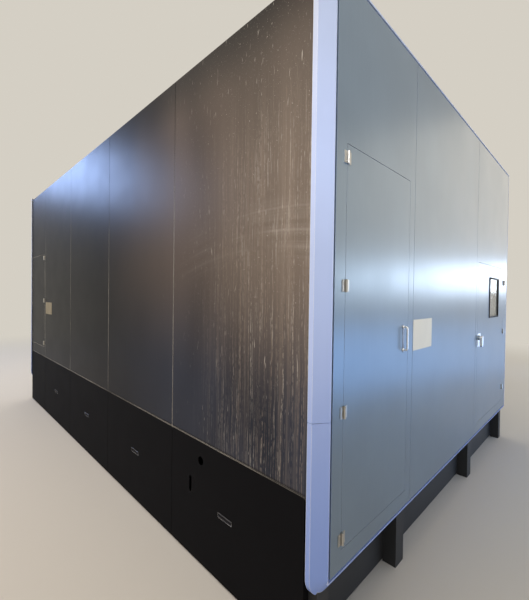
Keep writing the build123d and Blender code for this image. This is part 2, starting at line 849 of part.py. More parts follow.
# Sliding front doors: folded trays with a window each and a tubular pull
door_face = front_face.offset(fold + front_door_clearance)
door_y = -rear_face_y + fold + front_door_clearance
handle_y = door_y - front_handle_reach
for side, name in ((1, "right"), (-1, "left")):
    span = (front_door_split, front_door_outer)
    glass = front_window_x
    if side > 0:
        span = flipped(span)
        glass = flipped(glass)
    tray = folded_panel(door_face, span, front_door_z, [(glass, front_window_z)], front_door_depth)
    with BuildPart() as front_door:
        add(tray)
        with BuildSketch(Plane.XY.offset(front_handle_z[0])):
            with Locations((side * front_handle_x, handle_y)):
                Circle(front_handle_radius)
        extrude(amount=front_handle_z[1] - front_handle_z[0])
        for z in grown(front_handle_z, -front_handle_foot_inset):
            with BuildSketch(Plane(origin=(side * front_handle_x, handle_y, z), z_dir=(0, 1, 0))):
                Circle(front_handle_radius - 3)
            extrude(amount=front_handle_reach + sheet / 2)
    save(front_door.part, f"front_door_{name}")
    with BuildPart() as front_window:
        with BuildSketch(door_face.offset(glass_setback)):
            rectangle(grown(glass, -seat), grown(front_window_z, -seat))
        extrude(amount=glass_thickness)
    save(front_window.part, f"front_window_{name}")

# Bed: a stepped casting, cored from below between cross ribs, with windows front and rear
foot_grid = [(x, y) for x in (-foot_x, -foot_x / 3, foot_x / 3, foot_x) for y in (-foot_y, foot_y)]
trough_half = x_rail_gap / 2 - block_width / 2 - 10
trough_span = (column_y - trough_half, column_y + trough_half)
with BuildPart() as bed:
    with BuildSketch(Plane.YZ.offset(-bed_half_length)):
        with BuildLine():
            Polyline(
                (bed_front, bed_bottom), (bed_front, table_bottom), (table_back, table_bottom),
                (table_back, gutter_height), (rail_bank_front, gutter_height),
                (rail_bank_front, rail_seat_height), (trough_span[0], rail_seat_height),
                (trough_span[0], screw_trough_height), (trough_span[1], screw_trough_height),
                (trough_span[1], rail_seat_height), (bed_rear, rail_seat_height),
                (bed_rear, bed_bottom), close=True,
            )
        make_face()
    extrude(amount=2 * bed_half_length)
    cores = (
        ((bed_front + cast_wall, table_back - cast_wall), table_bottom - cast_wall),
        ((table_back + cast_wall, rail_bank_front - cast_wall), gutter_height - cast_wall),
        ((rail_bank_front + cast_wall, bed_rear - cast_wall), screw_trough_height - cast_wall),
    )
    cell = 2 * bed_half_length / bed_cells
    for y_span, ceiling in cores:
        row = (y_span[1] - y_span[0] + cast_wall) / 2
        with BuildSketch(Plane.XY.offset(bed_bottom)):
            with Locations((0, middle(y_span))):
                with GridLocations(cell, row, bed_cells, 2):
                    Rectangle(cell - cast_wall, row - cast_wall)
        extrude(amount=ceiling - bed_bottom, mode=Mode.SUBTRACT)
    with BuildSketch(Plane.XY.offset(bed_bottom)):
        with Locations(*foot_grid):
            Circle(foot_boss_radius)
    extrude(amount=foot_boss_height)
    window_z = middle((bed_bottom, gutter_height))
    for y in (bed_front, bed_rear - cast_wall):
        with BuildSketch(Plane(origin=(0, y, window_z), x_dir=(-1, 0, 0), z_dir=(0, 1, 0))):
            with GridLocations(2 * cell, 0, (bed_cells + 1) // 2, 1):
                RectangleRounded(bed_window_width, bed_window_height, bed_window_corner)
        extrude(amount=cast_wall, mode=Mode.SUBTRACT)
save(bed.part, "bed")

# Levelling feet: round pads, and anchor plates with a floor bolt hole at the corners
with BuildPart() as levelling_feet:
    for x, y in foot_grid:
        with BuildSketch():
            with Locations((x, y)):
                Circle(foot_radius)
            if abs(x) == foot_x:
                hole_x = x + anchor_offset * (1 if x > 0 else -1)
                with Locations((middle((x, hole_x)), y)):
                    Rectangle(anchor_offset, 2 * anchor_plate_radius)
                with Locations((hole_x, y)):
                    Circle(anchor_plate_radius)
                    Circle(anchor_hole_radius, mode=Mode.SUBTRACT)
        extrude(amount=foot_thickness)
        with BuildSketch(Plane.XY.offset(foot_thickness)):
            with Locations((x, y)):
                Circle(foot_stud_radius)
        extrude(amount=bed_bottom - foot_thickness)
        with BuildSketch(Plane.XY.offset(bed_bottom - foot_nut_height)):
            with Locations((x, y)):
                RegularPolygon(foot_nut_radius, 6)
        extrude(amount=foot_nut_height)
save(levelling_feet.part, "levelling_feet")

# Guides and the screw of the X axis, on the bed
rail_x_planes = [
    Plane(origin=(-bed_half_length + 20, y, rail_seat_height), x_dir=(0, 1, 0), z_dir=(1, 0, 0))
    for y in (column_y - x_rail_gap / 2, column_y + x_rail_gap / 2)
]
x_rail_parts = [guide_rail(plane, 2 * bed_half_length - 40) for plane in rail_x_planes]
screw_z = screw_trough_height + nut_radius + 20
screw_half = bed_half_length - 30
with BuildPart() as x_guides:
    for part in x_rail_parts:
        add(part)
    with BuildSketch(Plane.YZ.offset(-screw_half)):
        with Locations((column_y, screw_z)):
            Circle(screw_radius)
    extrude(amount=2 * screw_half)
    for x in (-screw_half, screw_half - screw_bearing_length):
        with BuildSketch(Plane.YZ.offset(x)):
            rectangle((column_y - 80, column_y + 80), (screw_trough_height, screw_z + 40))
        extrude(amount=screw_bearing_length)
save(x_guides.part, "x_guides")

# Table with its T-slots
table_middle = middle((table_front, table_back))
slot_ys = [table_middle + (n - (slot_count - 1) / 2) * slot_pitch for n in range(slot_count)]
with BuildPart() as table:
    block((-table_half_length, table_half_length), (table_front, table_back), (table_bottom, table_top))
    with BuildSketch(Plane.YZ.offset(-table_half_length)):
        for y in slot_ys:
            rectangle((y - slot_width / 2, y + slot_width / 2), (table_top - slot_depth, table_top))
            rectangle(
                (y - slot_foot_width / 2, y + slot_foot_width / 2),
                (table_top - slot_depth, table_top - slot_depth + slot_foot_height),
            )
    extrude(amount=2 * table_half_length, mode=Mode.SUBTRACT)
    ends = table.edges().filter_by(Axis.Z)
    chamfer([e for e in ends if e.length > table_top - table_bottom - 1], 12)
save(table.part, "table")

# Splash wall between the table and the column, on gussets
splash_base = gutter_height + sheet / 2
with BuildPart() as splash_wall:
    with BuildSketch(Plane.YZ.offset(-bed_half_length)):
        with BuildLine():
            Polyline(
                (splash_y + splash_foot, splash_base), (splash_y, splash_base),
                (splash_y, splash_top), (splash_y + splash_foot / 2, splash_top),
                (splash_y + splash_foot / 2, splash_top - splash_lip),
            )
        trace(line_width=sheet)
    extrude(amount=2 * bed_half_length)
    gusset_pitch = (bed_half_length - cast_wall) / 2
    for n in range(-2, 3):
        with BuildSketch(Plane.YZ.offset(n * gusset_pitch - sheet / 2)):
            with BuildLine():
                Polyline(
                    (splash_y, splash_base), (splash_y + splash_foot, splash_base),
                    (splash_y, gutter_height + gusset_height), close=True,
                )
            make_face()
        extrude(amount=sheet)
save(splash_wall.part, "splash_wall")

# Chip trough with its auger and gearmotor
apron_z = [trough_rim + rise for rise in trough_apron]
end_top = trough_rim - trough_end_drop
with BuildPart() as chip_trough:
    with BuildSketch(Plane.YZ.offset(-trough_half_length)):
        with BuildLine():
            front_rim = (trough_y - trough_radius, trough_rim)
            Polyline((front_rim[0] - trough_lip, front_rim[1]), front_rim, (front_rim[0], trough_z))
            ThreePointArc(
                (trough_y - trough_radius, trough_z), (trough_y, trough_z - trough_radius),
                (trough_y + trough_radius, trough_z),
            )
            Polyline(
                (trough_y + trough_radius, trough_z), (trough_y + trough_radius, apron_z[0]),
                (bed_front - seat - trough_sheet / 2, apron_z[1]),
                (bed_front - seat - trough_sheet / 2, apron_z[2]),
            )
        trace(line_width=trough_sheet)
    extrude(amount=2 * trough_half_length)
    for x in (-trough_half_length, trough_half_length - trough_sheet):
        with BuildSketch(Plane.YZ.offset(x)):
            rectangle((trough_y - trough_radius, trough_y + trough_radius), (trough_z, end_top))
            with Locations((trough_y, trough_z)):
                Circle(trough_radius)
                Circle(auger_tube_radius + seat, mode=Mode.SUBTRACT)
        extrude(amount=trough_sheet)
save(chip_trough.part, "chip_trough")

auger_length = auger_pitch * auger_turns
auger_start = -auger_length / 2
flight_radii = (auger_tube_radius - 4, auger_radius)
with BuildPart() as chip_auger:
    with BuildLine() as flight_path:
        Helix(
            pitch=auger_pitch, height=auger_length, radius=middle(flight_radii),
            center=(auger_start, trough_y, trough_z), direction=(1, 0, 0),
        )
    flight_start = flight_path.line @ 0
    outward = flight_start - Vector(auger_start, trough_y, trough_z)
    with BuildSketch(Plane(origin=flight_start, x_dir=outward, z_dir=flight_path.line % 0)):
        Rectangle(flight_radii[1] - flight_radii[0], auger_flight)
    sweep(path=flight_path.line, is_frenet=True)
    with BuildSketch(Plane.YZ.offset(-trough_half_length)):
        with Locations((trough_y, trough_z)):
            Circle(auger_tube_radius)
    extrude(amount=2 * trough_half_length)
save(chip_auger.part, "chip_auger")

with BuildPart() as auger_motor:
    with BuildSketch(Plane.YZ.offset(trough_half_length + seat)):
        with Locations((trough_y, trough_z)):
            Circle(gearmotor_radius)
    extrude(amount=gearmotor_length)
    chamfer(auger_motor.faces().sort_by(Axis.X)[-1].edges(), 14)
    with BuildSketch(Plane.YZ.offset(trough_half_length + seat)):
        with Locations((trough_y, trough_z)):
            Rectangle(gearmotor_flange[0], gearmotor_flange[0])
    extrude(amount=gearmotor_flange[1])
save(auger_motor.part, "auger_motor")

# Hydraulic and lubrication unit behind the service door
with BuildPart() as hydraulic_unit:
    block(hydraulic_x, hydraulic_y, hydraulic_tank_z)
    tank_edges = hydraulic_unit.edges().filter_by(Axis.Z)
    fillet(tank_edges, 20)
    for x in (hydraulic_x[0] + 50, hydraulic_x[1] - 50):
        block((x - 20, x + 20), grown(hydraulic_y, -40), (0, hydraulic_tank_z[0]))
    manifold_y = (hydraulic_y[0] + 60, hydraulic_y[0] + 60 + manifold_length)
    block(grown(hydraulic_x, -90), manifold_y, (hydraulic_tank_z[1], manifold_top))
    with BuildSketch(Plane(origin=(middle(hydraulic_x), middle(manifold_y), manifold_top))):
        with GridLocations(3 * valve_radius, 0, 2, 1):
            Circle(valve_radius)
    extrude(amount=valve_height)
    pump_axis = Plane(origin=(middle(hydraulic_x), hydraulic_y[1] - 150, hydraulic_tank_z[1]))
    with BuildSketch(pump_axis):
        Circle(pump_radius)
    extrude(amount=pump_height)
    with BuildSketch(pump_axis.offset(pump_height)):
        Circle(pump_radius + 8)
    extrude(amount=pump_cap_height, taper=14)
save(hydraulic_unit.part, "hydraulic_unit")

# Electrical cabinet behind the rear door
cabinet_x = (rear_seams[-1] + post / 2 + seat, beam_x - seat)
cabinet_z = (rear_door_z[0] - 20, rear_door_z[1] + 20)
with BuildPart() as electrical_cabinet:
    block(cabinet_x, cabinet_y, cabinet_z)
    block(
        grown(cabinet_x, -cabinet_wall), (cabinet_y[0] + cabinet_wall, cabinet_y[1]),
        grown(cabinet_z, -cabinet_wall), mode=Mode.SUBTRACT,
    )
save(electrical_cabinet.part, "electrical_cabinet")

drive_back = cabinet_y[0] + cabinet_wall + seat
drive_rows = (cabinet_z[1] - 300, cabinet_z[1] - 830)
duct_offset = drive_height / 2 + 50
with BuildPart() as drive_modules:
    for z in drive_rows:
        with BuildSketch(Plane.XZ.offset(-drive_back)):
            with Locations((middle(cabinet_x), z)):
                with GridLocations(drive_width + 8, 0, drive_count, 1):
                    Rectangle(drive_width, drive_height)
        extrude(amount=-drive_depth)
    for z in (drive_rows[0] + duct_offset, middle(drive_rows), drive_rows[1] - duct_offset):
        block(
            grown(cabinet_x, -60), (drive_back, drive_back + duct_depth),
            (z - duct_height / 2, z + duct_height / 2),
        )
save(drive_modules.part, "drive_modules")

# Travelling column: a tapered, cored casting on four carriage blocks
foot_top = column_base + column_foot
with BuildPart() as column:
    block(
        (-column_half_width, column_half_width),
        (column_y - column_half_depth, column_y + column_half_depth), (column_base, foot_top),
    )
    fillet(column.edges().filter_by(Axis.Z), column_corner)
    with BuildSketch(Plane.XY.offset(foot_top)):
        with Locations((0, column_y)):
            RectangleRounded(2 * column_half_width - 80, 2 * column_half_depth - 20, column_corner)
    with BuildSketch(Plane.XY.offset(column_top - column_cap)):
        with Locations((0, column_y)):
            RectangleRounded(2 * column_top_half_width, 2 * column_top_half_depth, column_corner)
    loft()
    block(
        (-column_top_half_width - 10, column_top_half_width + 10),
        (column_y - column_half_depth, column_y + column_half_depth), (column_top - column_cap, column_top),
    )
    with BuildSketch(Plane.XY.offset(column_base + cast_wall)):
        with Locations((0, column_y)):
            Rectangle(2 * (column_half_width - 90), 2 * (column_half_depth - 60))
    with BuildSketch(Plane.XY.offset(column_top - 100)):
        with Locations((0, column_y)):
            Rectangle(2 * (column_top_half_width - column_wall), 2 * (column_top_half_depth - column_wall))
    loft(mode=Mode.SUBTRACT)
    # cast windows through both sides
    with BuildSketch(Plane.YZ.offset(-column_half_width)):
        with Locations(*((column_y, foot_top + rise) for rise in column_window_rises)):
            RectangleRounded(*column_window, column_window_corner)
    extrude(amount=2 * column_half_width, mode=Mode.SUBTRACT)
    # housing of the driven nut, with running clearance round the screw
    with BuildSketch(Plane.YZ):
        with Locations((column_y, screw_z)):
            Circle(nut_radius)
        rectangle((column_y - nut_radius, column_y + nut_radius), (screw_z, column_base + 20))
    extrude(amount=nut_half_length, both=True)
    with BuildSketch(Plane.YZ):
        with Locations((column_y, screw_z)):
            Circle(screw_radius + screw_clearance)
    extrude(amount=nut_half_length, both=True, mode=Mode.SUBTRACT)
save(column.part, "column")

column_block_x = column_half_width - block_length / 2 - 20
x_block_parts = [
    guide_block(Plane(origin=(x, y, rail_seat_height), x_dir=(0, 1, 0), z_dir=(1, 0, 0)))
    for x in (-column_block_x, column_block_x)
    for y in (column_y - x_rail_gap / 2, column_y + x_rail_gap / 2)
]
# the ram's rails hang from its underside, so these blocks stand on the column and face up
ram_blocks_y = (column_y - column_half_depth + 60, ram_rear - 10 - y_travel - block_length / 2)
ram_seats = [(x, ram_bottom) for x in (-ram_rail_gap / 2, ram_rail_gap / 2)]
y_block_parts = [
    guide_block(Plane(origin=(x, y, z), x_dir=(1, 0, 0), z_dir=(0, 1, 0)))
    for x, z in ram_seats
    for y in ram_blocks_y
]
with BuildPart() as column_guide_blocks:
    for part in x_block_parts + y_block_parts:
        add(part)
save(column_guide_blocks.part, "column_guide_blocks")

# Ram: a cored beam with a front plate for the head's guides
plate_y = (plate_front, plate_front + ram_plate_thickness)
ram_top = ram_bottom + ram_depth
ram_core_x = (cast_wall - ram_half_width, ram_half_width - cast_wall)
with BuildPart() as ram:
    with BuildSketch(Plane.YZ.offset(-ram_half_width)):
        with BuildLine():
            Polyline(
                (plate_y[1], ram_plate_bottom + 40), (plate_y[1], ram_top), (ram_rear - ram_tail[0], ram_top),
                (ram_rear, ram_top - ram_tail[1]), (ram_rear, ram_bottom), (plate_y[1] + 220, ram_bottom),
                close=True,
            )
        make_face()
    extrude(amount=2 * ram_half_width)
    block((-ram_half_width, ram_half_width), plate_y, (ram_plate_bottom, ram_top))
    cell_ys = [plate_y[1] + 360 + n * ram_cell_pitch for n in range(3)]
    with BuildSketch(Plane.XY.offset(ram_bottom + cast_wall)):
        for y in cell_ys:
            rectangle(ram_core_x, (y - ram_cell_half, y + ram_cell_half))
    extrude(amount=ram_depth - 2 * cast_wall - 60, mode=Mode.SUBTRACT)
    with BuildSketch(Plane.YZ.offset(-ram_half_width)):
        for y in cell_ys:
            with Locations((y, ram_bottom + 190)):
                RectangleRounded(*ram_window, 50)
    extrude(amount=2 * ram_half_width, mode=Mode.SUBTRACT)
save(ram.part, "ram")

ram_rail_start = plate_y[1] + 240
ram_rail_length = ram_rear - 10 - ram_rail_start
ram_rail_parts = [
    guide_rail(Plane(origin=(x, ram_rail_start, z), x_dir=(1, 0, 0), z_dir=(0, 1, 0)), ram_rail_length)
    for x, z in ram_seats
]
head_rail_z = (head_bottom + 5, head_top - 10)
head_blocks_z = (
    head_rail_z[0] + block_length / 2 + 3, head_rail_z[1] - z_travel - block_length / 2 - 3
)
head_seats = [(x, head_back) for x in (-head_rail_gap / 2, head_rail_gap / 2)]
z_block_parts = [
    guide_block(Plane(origin=(x, y, z), x_dir=(1, 0, 0), z_dir=(0, 0, 1)))
    for x, y in head_seats
    for z in head_blocks_z
]
with BuildPart() as ram_guides:
    for part in ram_rail_parts + z_block_parts:
        add(part)
save(ram_guides.part, "ram_guides")

# Head: a rounded housing that tapers to the spindle nose
with BuildPart() as spindle_head:
    with BuildSketch(Plane.XY.offset(head_bottom)) as head_outline:
        with Locations((0, spindle_y)):
            Rectangle(2 * head_half_width, 2 * head_half_depth)
        front_corners = head_outline.vertices().group_by(Axis.Y)[0]
        fillet(front_corners, head_corner)
    extrude(amount=head_top - head_bottom)
    with BuildSketch(Plane.XY.offset(head_bottom)):
        with Locations((0, spindle_y)):
            Circle(head_half_depth - 20)
    with BuildSketch(Plane.XY.offset(head_bottom - nose_height)):
        with Locations((0, spindle_y)):
            Circle(nose_radius)
    loft()
    with BuildSketch(Plane.XY.offset(head_bottom - nose_height)):
        with Locations((0, spindle_y)):
            Circle(spindle_radius + spindle_clearance)
    extrude(amount=spindle_engagement + seat, mode=Mode.SUBTRACT)
    # cooling slots in both flanks
    with BuildSketch(Plane.YZ.offset(-head_half_width)):
        with Locations((spindle_y + 10, head_top - 220)):
            with GridLocations(0, head_slot_pitch, 1, head_slot_count):
                SlotOverall(*head_slot)
    extrude(amount=12, mode=Mode.SUBTRACT)
save(spindle_head.part, "spindle_head")

head_rail_length = head_rail_z[1] - head_rail_z[0]
z_rail_parts = [
    guide_rail(Plane(origin=(x, y, head_rail_z[0]), x_dir=(1, 0, 0), z_dir=(0, 0, 1)), head_rail_length)
    for x, y in head_seats
]
with BuildPart() as head_rails:
    for part in z_rail_parts:
        add(part)
save(head_rails.part, "head_rails")

# Spindle with its tapered bore and two drive keys
spindle_low = head_bottom - nose_height - spindle_flange_height
spindle_shoulder = spindle_low + spindle_flange_height - seat
spindle_top = spindle_shoulder + spindle_engagement
taper_end = taper_gauge_radius - taper_depth * taper_ratio / 2
with BuildPart() as spindle:
    with BuildSketch(Plane.XZ):
        with BuildLine():
            Polyline(
                (taper_gauge_radius, spindle_low), (spindle_flange_radius - 6, spindle_low),
                (spindle_flange_radius, spindle_low + 6), (spindle_flange_radius, spindle_shoulder),
                (spindle_radius, spindle_shoulder), (spindle_radius, spindle_top),
                (taper_end * 0.6, spindle_top), (taper_end * 0.6, spindle_low + taper_depth),
                (taper_end, spindle_low + taper_depth), close=True,
            )
        make_face()
    revolve(axis=Axis.Z)
    with BuildSketch(Plane.XY.offset(spindle_low - drive_key_height)):
        with PolarLocations(taper_gauge_radius + 16, 2):
            Rectangle(*drive_key)
    extrude(amount=drive_key_height + 2)
save(spindle.part.moved(Location((0, spindle_y, 0))), "spindle")

# Tool magazine: beam and rail on the frame, a sliding carriage and the carousel
beam_y = (magazine_y - magazine_beam_width / 2, magazine_y + magazine_beam_width / 2)
beam_z = (magazine_beam_bottom, magazine_beam_bottom + magazine_beam_height)
magazine_seat = Plane(
    origin=(-beam_x + 20, magazine_y, magazine_beam_bottom), x_dir=(0, -1, 0), z_dir=(1, 0, 0)
)
magazine_rail = guide_rail(magazine_seat, magazine_beam_end + beam_x - 30)
with BuildPart() as magazine_beam:
    block((-beam_x + seat, magazine_beam_end), beam_y, beam_z)
    block(
        (-beam_x + 30, magazine_beam_end - 20), grown(beam_y, -12), grown(beam_z, -12), mode=Mode.SUBTRACT
    )
    add(magazine_rail)
save(magazine_beam.part, "magazine_beam")

carriage_z = (magazine_beam_bottom - block_top - carriage_thickness, magazine_beam_bottom - block_top)
carriage_blocks = [
    guide_block(
        Plane(origin=(magazine_x + x, magazine_y, magazine_beam_bottom), x_dir=(0, -1, 0), z_dir=(1, 0, 0))
    )
    for x in carriage_block_places
]
hub_low = carousel_z + carousel_thickness + hub_collar_height
with BuildPart() as magazine_carriage:
    block(
        (magazine_x - carriage_half_length, magazine_x + carriage_half_length),
        (magazine_y - carriage_half_width, magazine_y + carriage_half_width), carriage_z,
    )
    fillet(magazine_carriage.edges().filter_by(Axis.Z), 30)
    for part in carriage_blocks:
        add(part)
    with BuildSketch(Plane.XY.offset(hub_low)):
        with Locations((magazine_x, magazine_y)):
            Circle(hub_radius)
    extrude(amount=carriage_z[0] - hub_low)
save(magazine_carriage.part, "magazine_carriage")

fork_tip = tool_circle + fork_length / 2
holder_bore = holder_groove_radius + fork_clearance
with BuildPart() as carousel:
    with BuildSketch(Plane.XY.offset(carousel_z)):
        Circle(carousel_radius)
        with PolarLocations((carousel_radius - fork_root + fork_tip) / 2, tool_count):
            Rectangle(fork_tip - carousel_radius + fork_root, fork_width)
        with PolarLocations(tool_circle, tool_count):
            Circle(holder_bore, mode=Mode.SUBTRACT)
        with PolarLocations((tool_circle + fork_tip + fork_root) / 2, tool_count):
            throat = 2 * (holder_bore - fork_throat_lap)
            Rectangle(fork_tip - tool_circle + fork_root, throat, mode=Mode.SUBTRACT)
        with PolarLocations(lightening_circle, tool_count // 2):
            Circle(lightening_radius, mode=Mode.SUBTRACT)
    extrude(amount=carousel_thickness)
    with BuildSketch(Plane.XY.offset(carousel_z + carousel_thickness)):
        Circle(hub_radius + hub_collar_height)
    extrude(amount=hub_collar_height - hub_bearing_gap)
save(carousel.part.moved(Location((magazine_x, magazine_y, 0))), "carousel")

groove_z = grown((carousel_z, carousel_z + carousel_thickness), fork_clearance)
flange_z = (groove_z[0] - holder_flange_walls[0], groove_z[1] + holder_flange_walls[1])
shank_z = flange_z[0] - holder_shank_length
cutter_z = shank_z - cutter_length
cone_z = flange_z[1] + taper_depth - holder_cone_short
with BuildPart() as tool_holder:
    with BuildSketch(Plane.XZ):
        with BuildLine():
            Polyline(
                (0, cutter_z), (cutter_radius, cutter_z), (cutter_radius, shank_z),
                (holder_shank_tip_radius, shank_z), (holder_shank_radius, flange_z[0]),
                (holder_flange_radius, flange_z[0]), (holder_flange_radius, groove_z[0]),
                (holder_groove_radius, groove_z[0]), (holder_groove_radius, groove_z[1]),
                (holder_flange_radius, groove_z[1]), (holder_flange_radius, flange_z[1]),
                (taper_gauge_radius - 1, flange_z[1]), (holder_top_radius, cone_z), (0, cone_z),
                close=True,
            )
        make_face()
    revolve(axis=Axis.Z)
with BuildPart() as tool_holders:
    with Locations((magazine_x, magazine_y)):
        with PolarLocations(tool_circle, tool_count):
            add(tool_holder.part)
save(tool_holders.part, "tool_holders")

# Pendant arm, swivelling on a bracket on the header, and the pendant below its end
bracket_face = -rear_face_y
pivot_y = bracket_face - pendant_standoff
bracket_thickness = 24.0
bracket_radius = 45.0
with BuildPart() as pendant_bracket:
    for z in (pendant_pivot_z + arm_radius + seat, pendant_pivot_z - arm_radius - seat - bracket_thickness):
        with BuildSketch(Plane.XY.offset(z)):
            rectangle(grown((pendant_pivot_x, pendant_pivot_x), bracket_radius), (pivot_y, bracket_face))
            with Locations((pendant_pivot_x, pivot_y)):
                Circle(bracket_radius)
        extrude(amount=bracket_thickness)
    block(
        (pendant_pivot_x - 60, pendant_pivot_x + 60), (bracket_face - 12, bracket_face),
        (pendant_pivot_z - 90, pendant_pivot_z + 90),
    )
save(pendant_bracket.part, "pendant_bracket")

arm_end_x = pendant_pivot_x - pendant_reach
pendant_top = pendant_pivot_z - arm_drop
with BuildPart() as pendant_arm:
    with BuildLine(Plane.XZ.offset(-pivot_y)) as arm_path:
        FilletPolyline(
            (pendant_pivot_x, pendant_pivot_z), (arm_end_x, pendant_pivot_z),
            (arm_end_x, pendant_top + seat), radius=4 * arm_radius,
        )
    with BuildSketch(Plane(origin=arm_path.line @ 0, z_dir=arm_path.line % 0)):
        Circle(arm_radius - 2)
    sweep(path=arm_path.line)
    with BuildSketch(Plane(origin=(pendant_pivot_x, pivot_y, pendant_pivot_z - arm_radius))):
        Circle(bracket_radius - 3)
    extrude(amount=2 * arm_radius)
save(pendant_arm.part, "pendant_arm")

pendant_x = (arm_end_x - pendant_width / 2, arm_end_x + pendant_width / 2)
pendant_y = (pivot_y - pendant_depth / 2, pivot_y + pendant_depth / 2)
pendant_z = (pendant_top - pendant_height, pendant_top)
button_z = pendant_z[0] + button_strip
recess_x = grown(pendant_x, -pendant_border)
screen_z = (pendant_z[1] - screen_drop[1], pendant_z[1] - screen_drop[0])
keys_z = (pendant_z[0] + keys_rise[0], pendant_z[0] + keys_rise[1])
with BuildPart() as pendant_housing:
    with BuildSketch(Plane.XY.offset(pendant_z[0])):
        with Locations((arm_end_x, pivot_y)):
            RectangleRounded(pendant_width, pendant_depth, pendant_corner)
    extrude(amount=pendant_height)
    # shallow recesses for the screen and the key panel
    with BuildSketch(Plane.XZ.offset(-pendant_y[0])):
        rectangle(recess_x, screen_z)
        rectangle(recess_x, keys_z)
    extrude(amount=-pendant_recess, mode=Mode.SUBTRACT)
    # guide holes of the buttons
    with BuildSketch(Plane.XZ.offset(-pendant_y[0])):
        for _, x, _, _ in button_places:
            with Locations((arm_end_x + x, button_z)):
                Circle(button_stem_radius + seat)
    extrude(amount=-button_stem_depth - button_travel - 1, mode=Mode.SUBTRACT)
save(pendant_housing.part, "pendant_housing")

recess_floor = Plane.XZ.offset(-pendant_y[0] - pendant_recess)
with BuildPart() as pendant_panel:
    with BuildSketch(recess_floor):
        rectangle(grown(recess_x, -seat), grown(screen_z, -seat))
    extrude(amount=pendant_recess - 1)
    with BuildSketch(recess_floor):
        with Locations((arm_end_x, middle(keys_z))):
            with GridLocations(key_pitch, key_pitch, 11, 4):
                Rectangle(*key_size)
    extrude(amount=pendant_recess + 1)
save(pendant_panel.part, "pendant_panel")

# Buttons and the feed override knob, on the pendant's lower strip
button_face = Plane.XZ.offset(-pendant_y[0] + seat)
for name, x, radius, height in button_places:
    with BuildPart() as button:
        with BuildSketch(button_face.offset(button_travel)):
            with Locations((arm_end_x + x, button_z)):
                Circle(radius)
        extrude(amount=height)
        chamfer(button.faces().sort_by(Axis.Y)[0].edges(), 2)
        with BuildSketch(button_face.offset(-button_stem_depth)):
            with Locations((arm_end_x + x, button_z)):
                Circle(button_stem_radius)
        extrude(amount=button_stem_depth + button_travel)
    save(button.part, name)

knob_x = arm_end_x + 130.0
with BuildPart() as override_knob:
    with BuildSketch(button_face):
        with Locations((knob_x, button_z)):
            Circle(knob_radius)
    extrude(amount=8)
    with BuildSketch(button_face.offset(8)):
        with Locations((knob_x, button_z)):
            Circle(knob_grip_radius)
            with PolarLocations(knob_grip_radius, 8):
                Circle(2.5, mode=Mode.SUBTRACT)
    extrude(amount=16)
save(override_knob.part, "override_knob")
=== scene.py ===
"""The looks of a vertical machining center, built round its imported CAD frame.

Lengths are in metres, and in millimetres where a name ends in _mm. The frame's +X is the
operator's right, -Y the front and +Z up. The camera stands off the rear left corner.
"""

import json
import logging
import math
from dataclasses import dataclass
from enum import Enum
from functools import cached_property

import bmesh
import bpy
from bpy.types import ID, Material, Mesh, Node, NodeSocket, NodeTree, Object
from mathutils import Matrix, Vector


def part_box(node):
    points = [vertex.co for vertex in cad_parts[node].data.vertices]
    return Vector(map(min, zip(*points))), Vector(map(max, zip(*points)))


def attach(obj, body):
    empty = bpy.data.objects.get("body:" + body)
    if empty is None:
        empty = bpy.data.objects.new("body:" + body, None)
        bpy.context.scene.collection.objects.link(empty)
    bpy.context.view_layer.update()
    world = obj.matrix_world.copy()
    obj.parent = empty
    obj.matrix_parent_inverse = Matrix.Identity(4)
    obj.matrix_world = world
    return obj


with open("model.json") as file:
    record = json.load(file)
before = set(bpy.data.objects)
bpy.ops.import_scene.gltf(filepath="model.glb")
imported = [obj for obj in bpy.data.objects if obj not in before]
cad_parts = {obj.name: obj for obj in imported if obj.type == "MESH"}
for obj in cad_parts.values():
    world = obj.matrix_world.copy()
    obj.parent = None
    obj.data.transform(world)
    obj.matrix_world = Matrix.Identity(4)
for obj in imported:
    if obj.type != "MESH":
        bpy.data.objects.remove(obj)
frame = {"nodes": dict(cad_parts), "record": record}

log = logging.getLogger("machining_center")
Colour = tuple[float, float, float, float]
Triple = tuple[float, float, float]
Pair = tuple[float, float]
MM = 0.001
THROUGH_MM = 4000.0  # a grain this long stays the same through the sheet
LEFT = Vector((-1, 0, 0))
FRONT = Vector((0, -1, 0))
REAR = Vector((0, 1, 0))
UP = Vector((0, 0, 1))


class Axis(Enum):
    """The direction that a brushed or drawn surface's grain runs in."""

    X = 0
    Y = 1
    Z = 2


def linear(code: str) -> Colour:
    """Turns an sRGB hex colour into linear values.

    Args:
        code: The colour, as in "#A0B1C2".

    Returns:
        Red, green, blue and an alpha of 1.
    """
    levels = [int(code[n : n + 2], 16) / 255 for n in (1, 3, 5)]
    red, green, blue = (c / 12.92 if c <= 0.04045 else ((c + 0.055) / 1.055) ** 2.4 for c in levels)
    return red, green, blue, 1.0


# Node trees


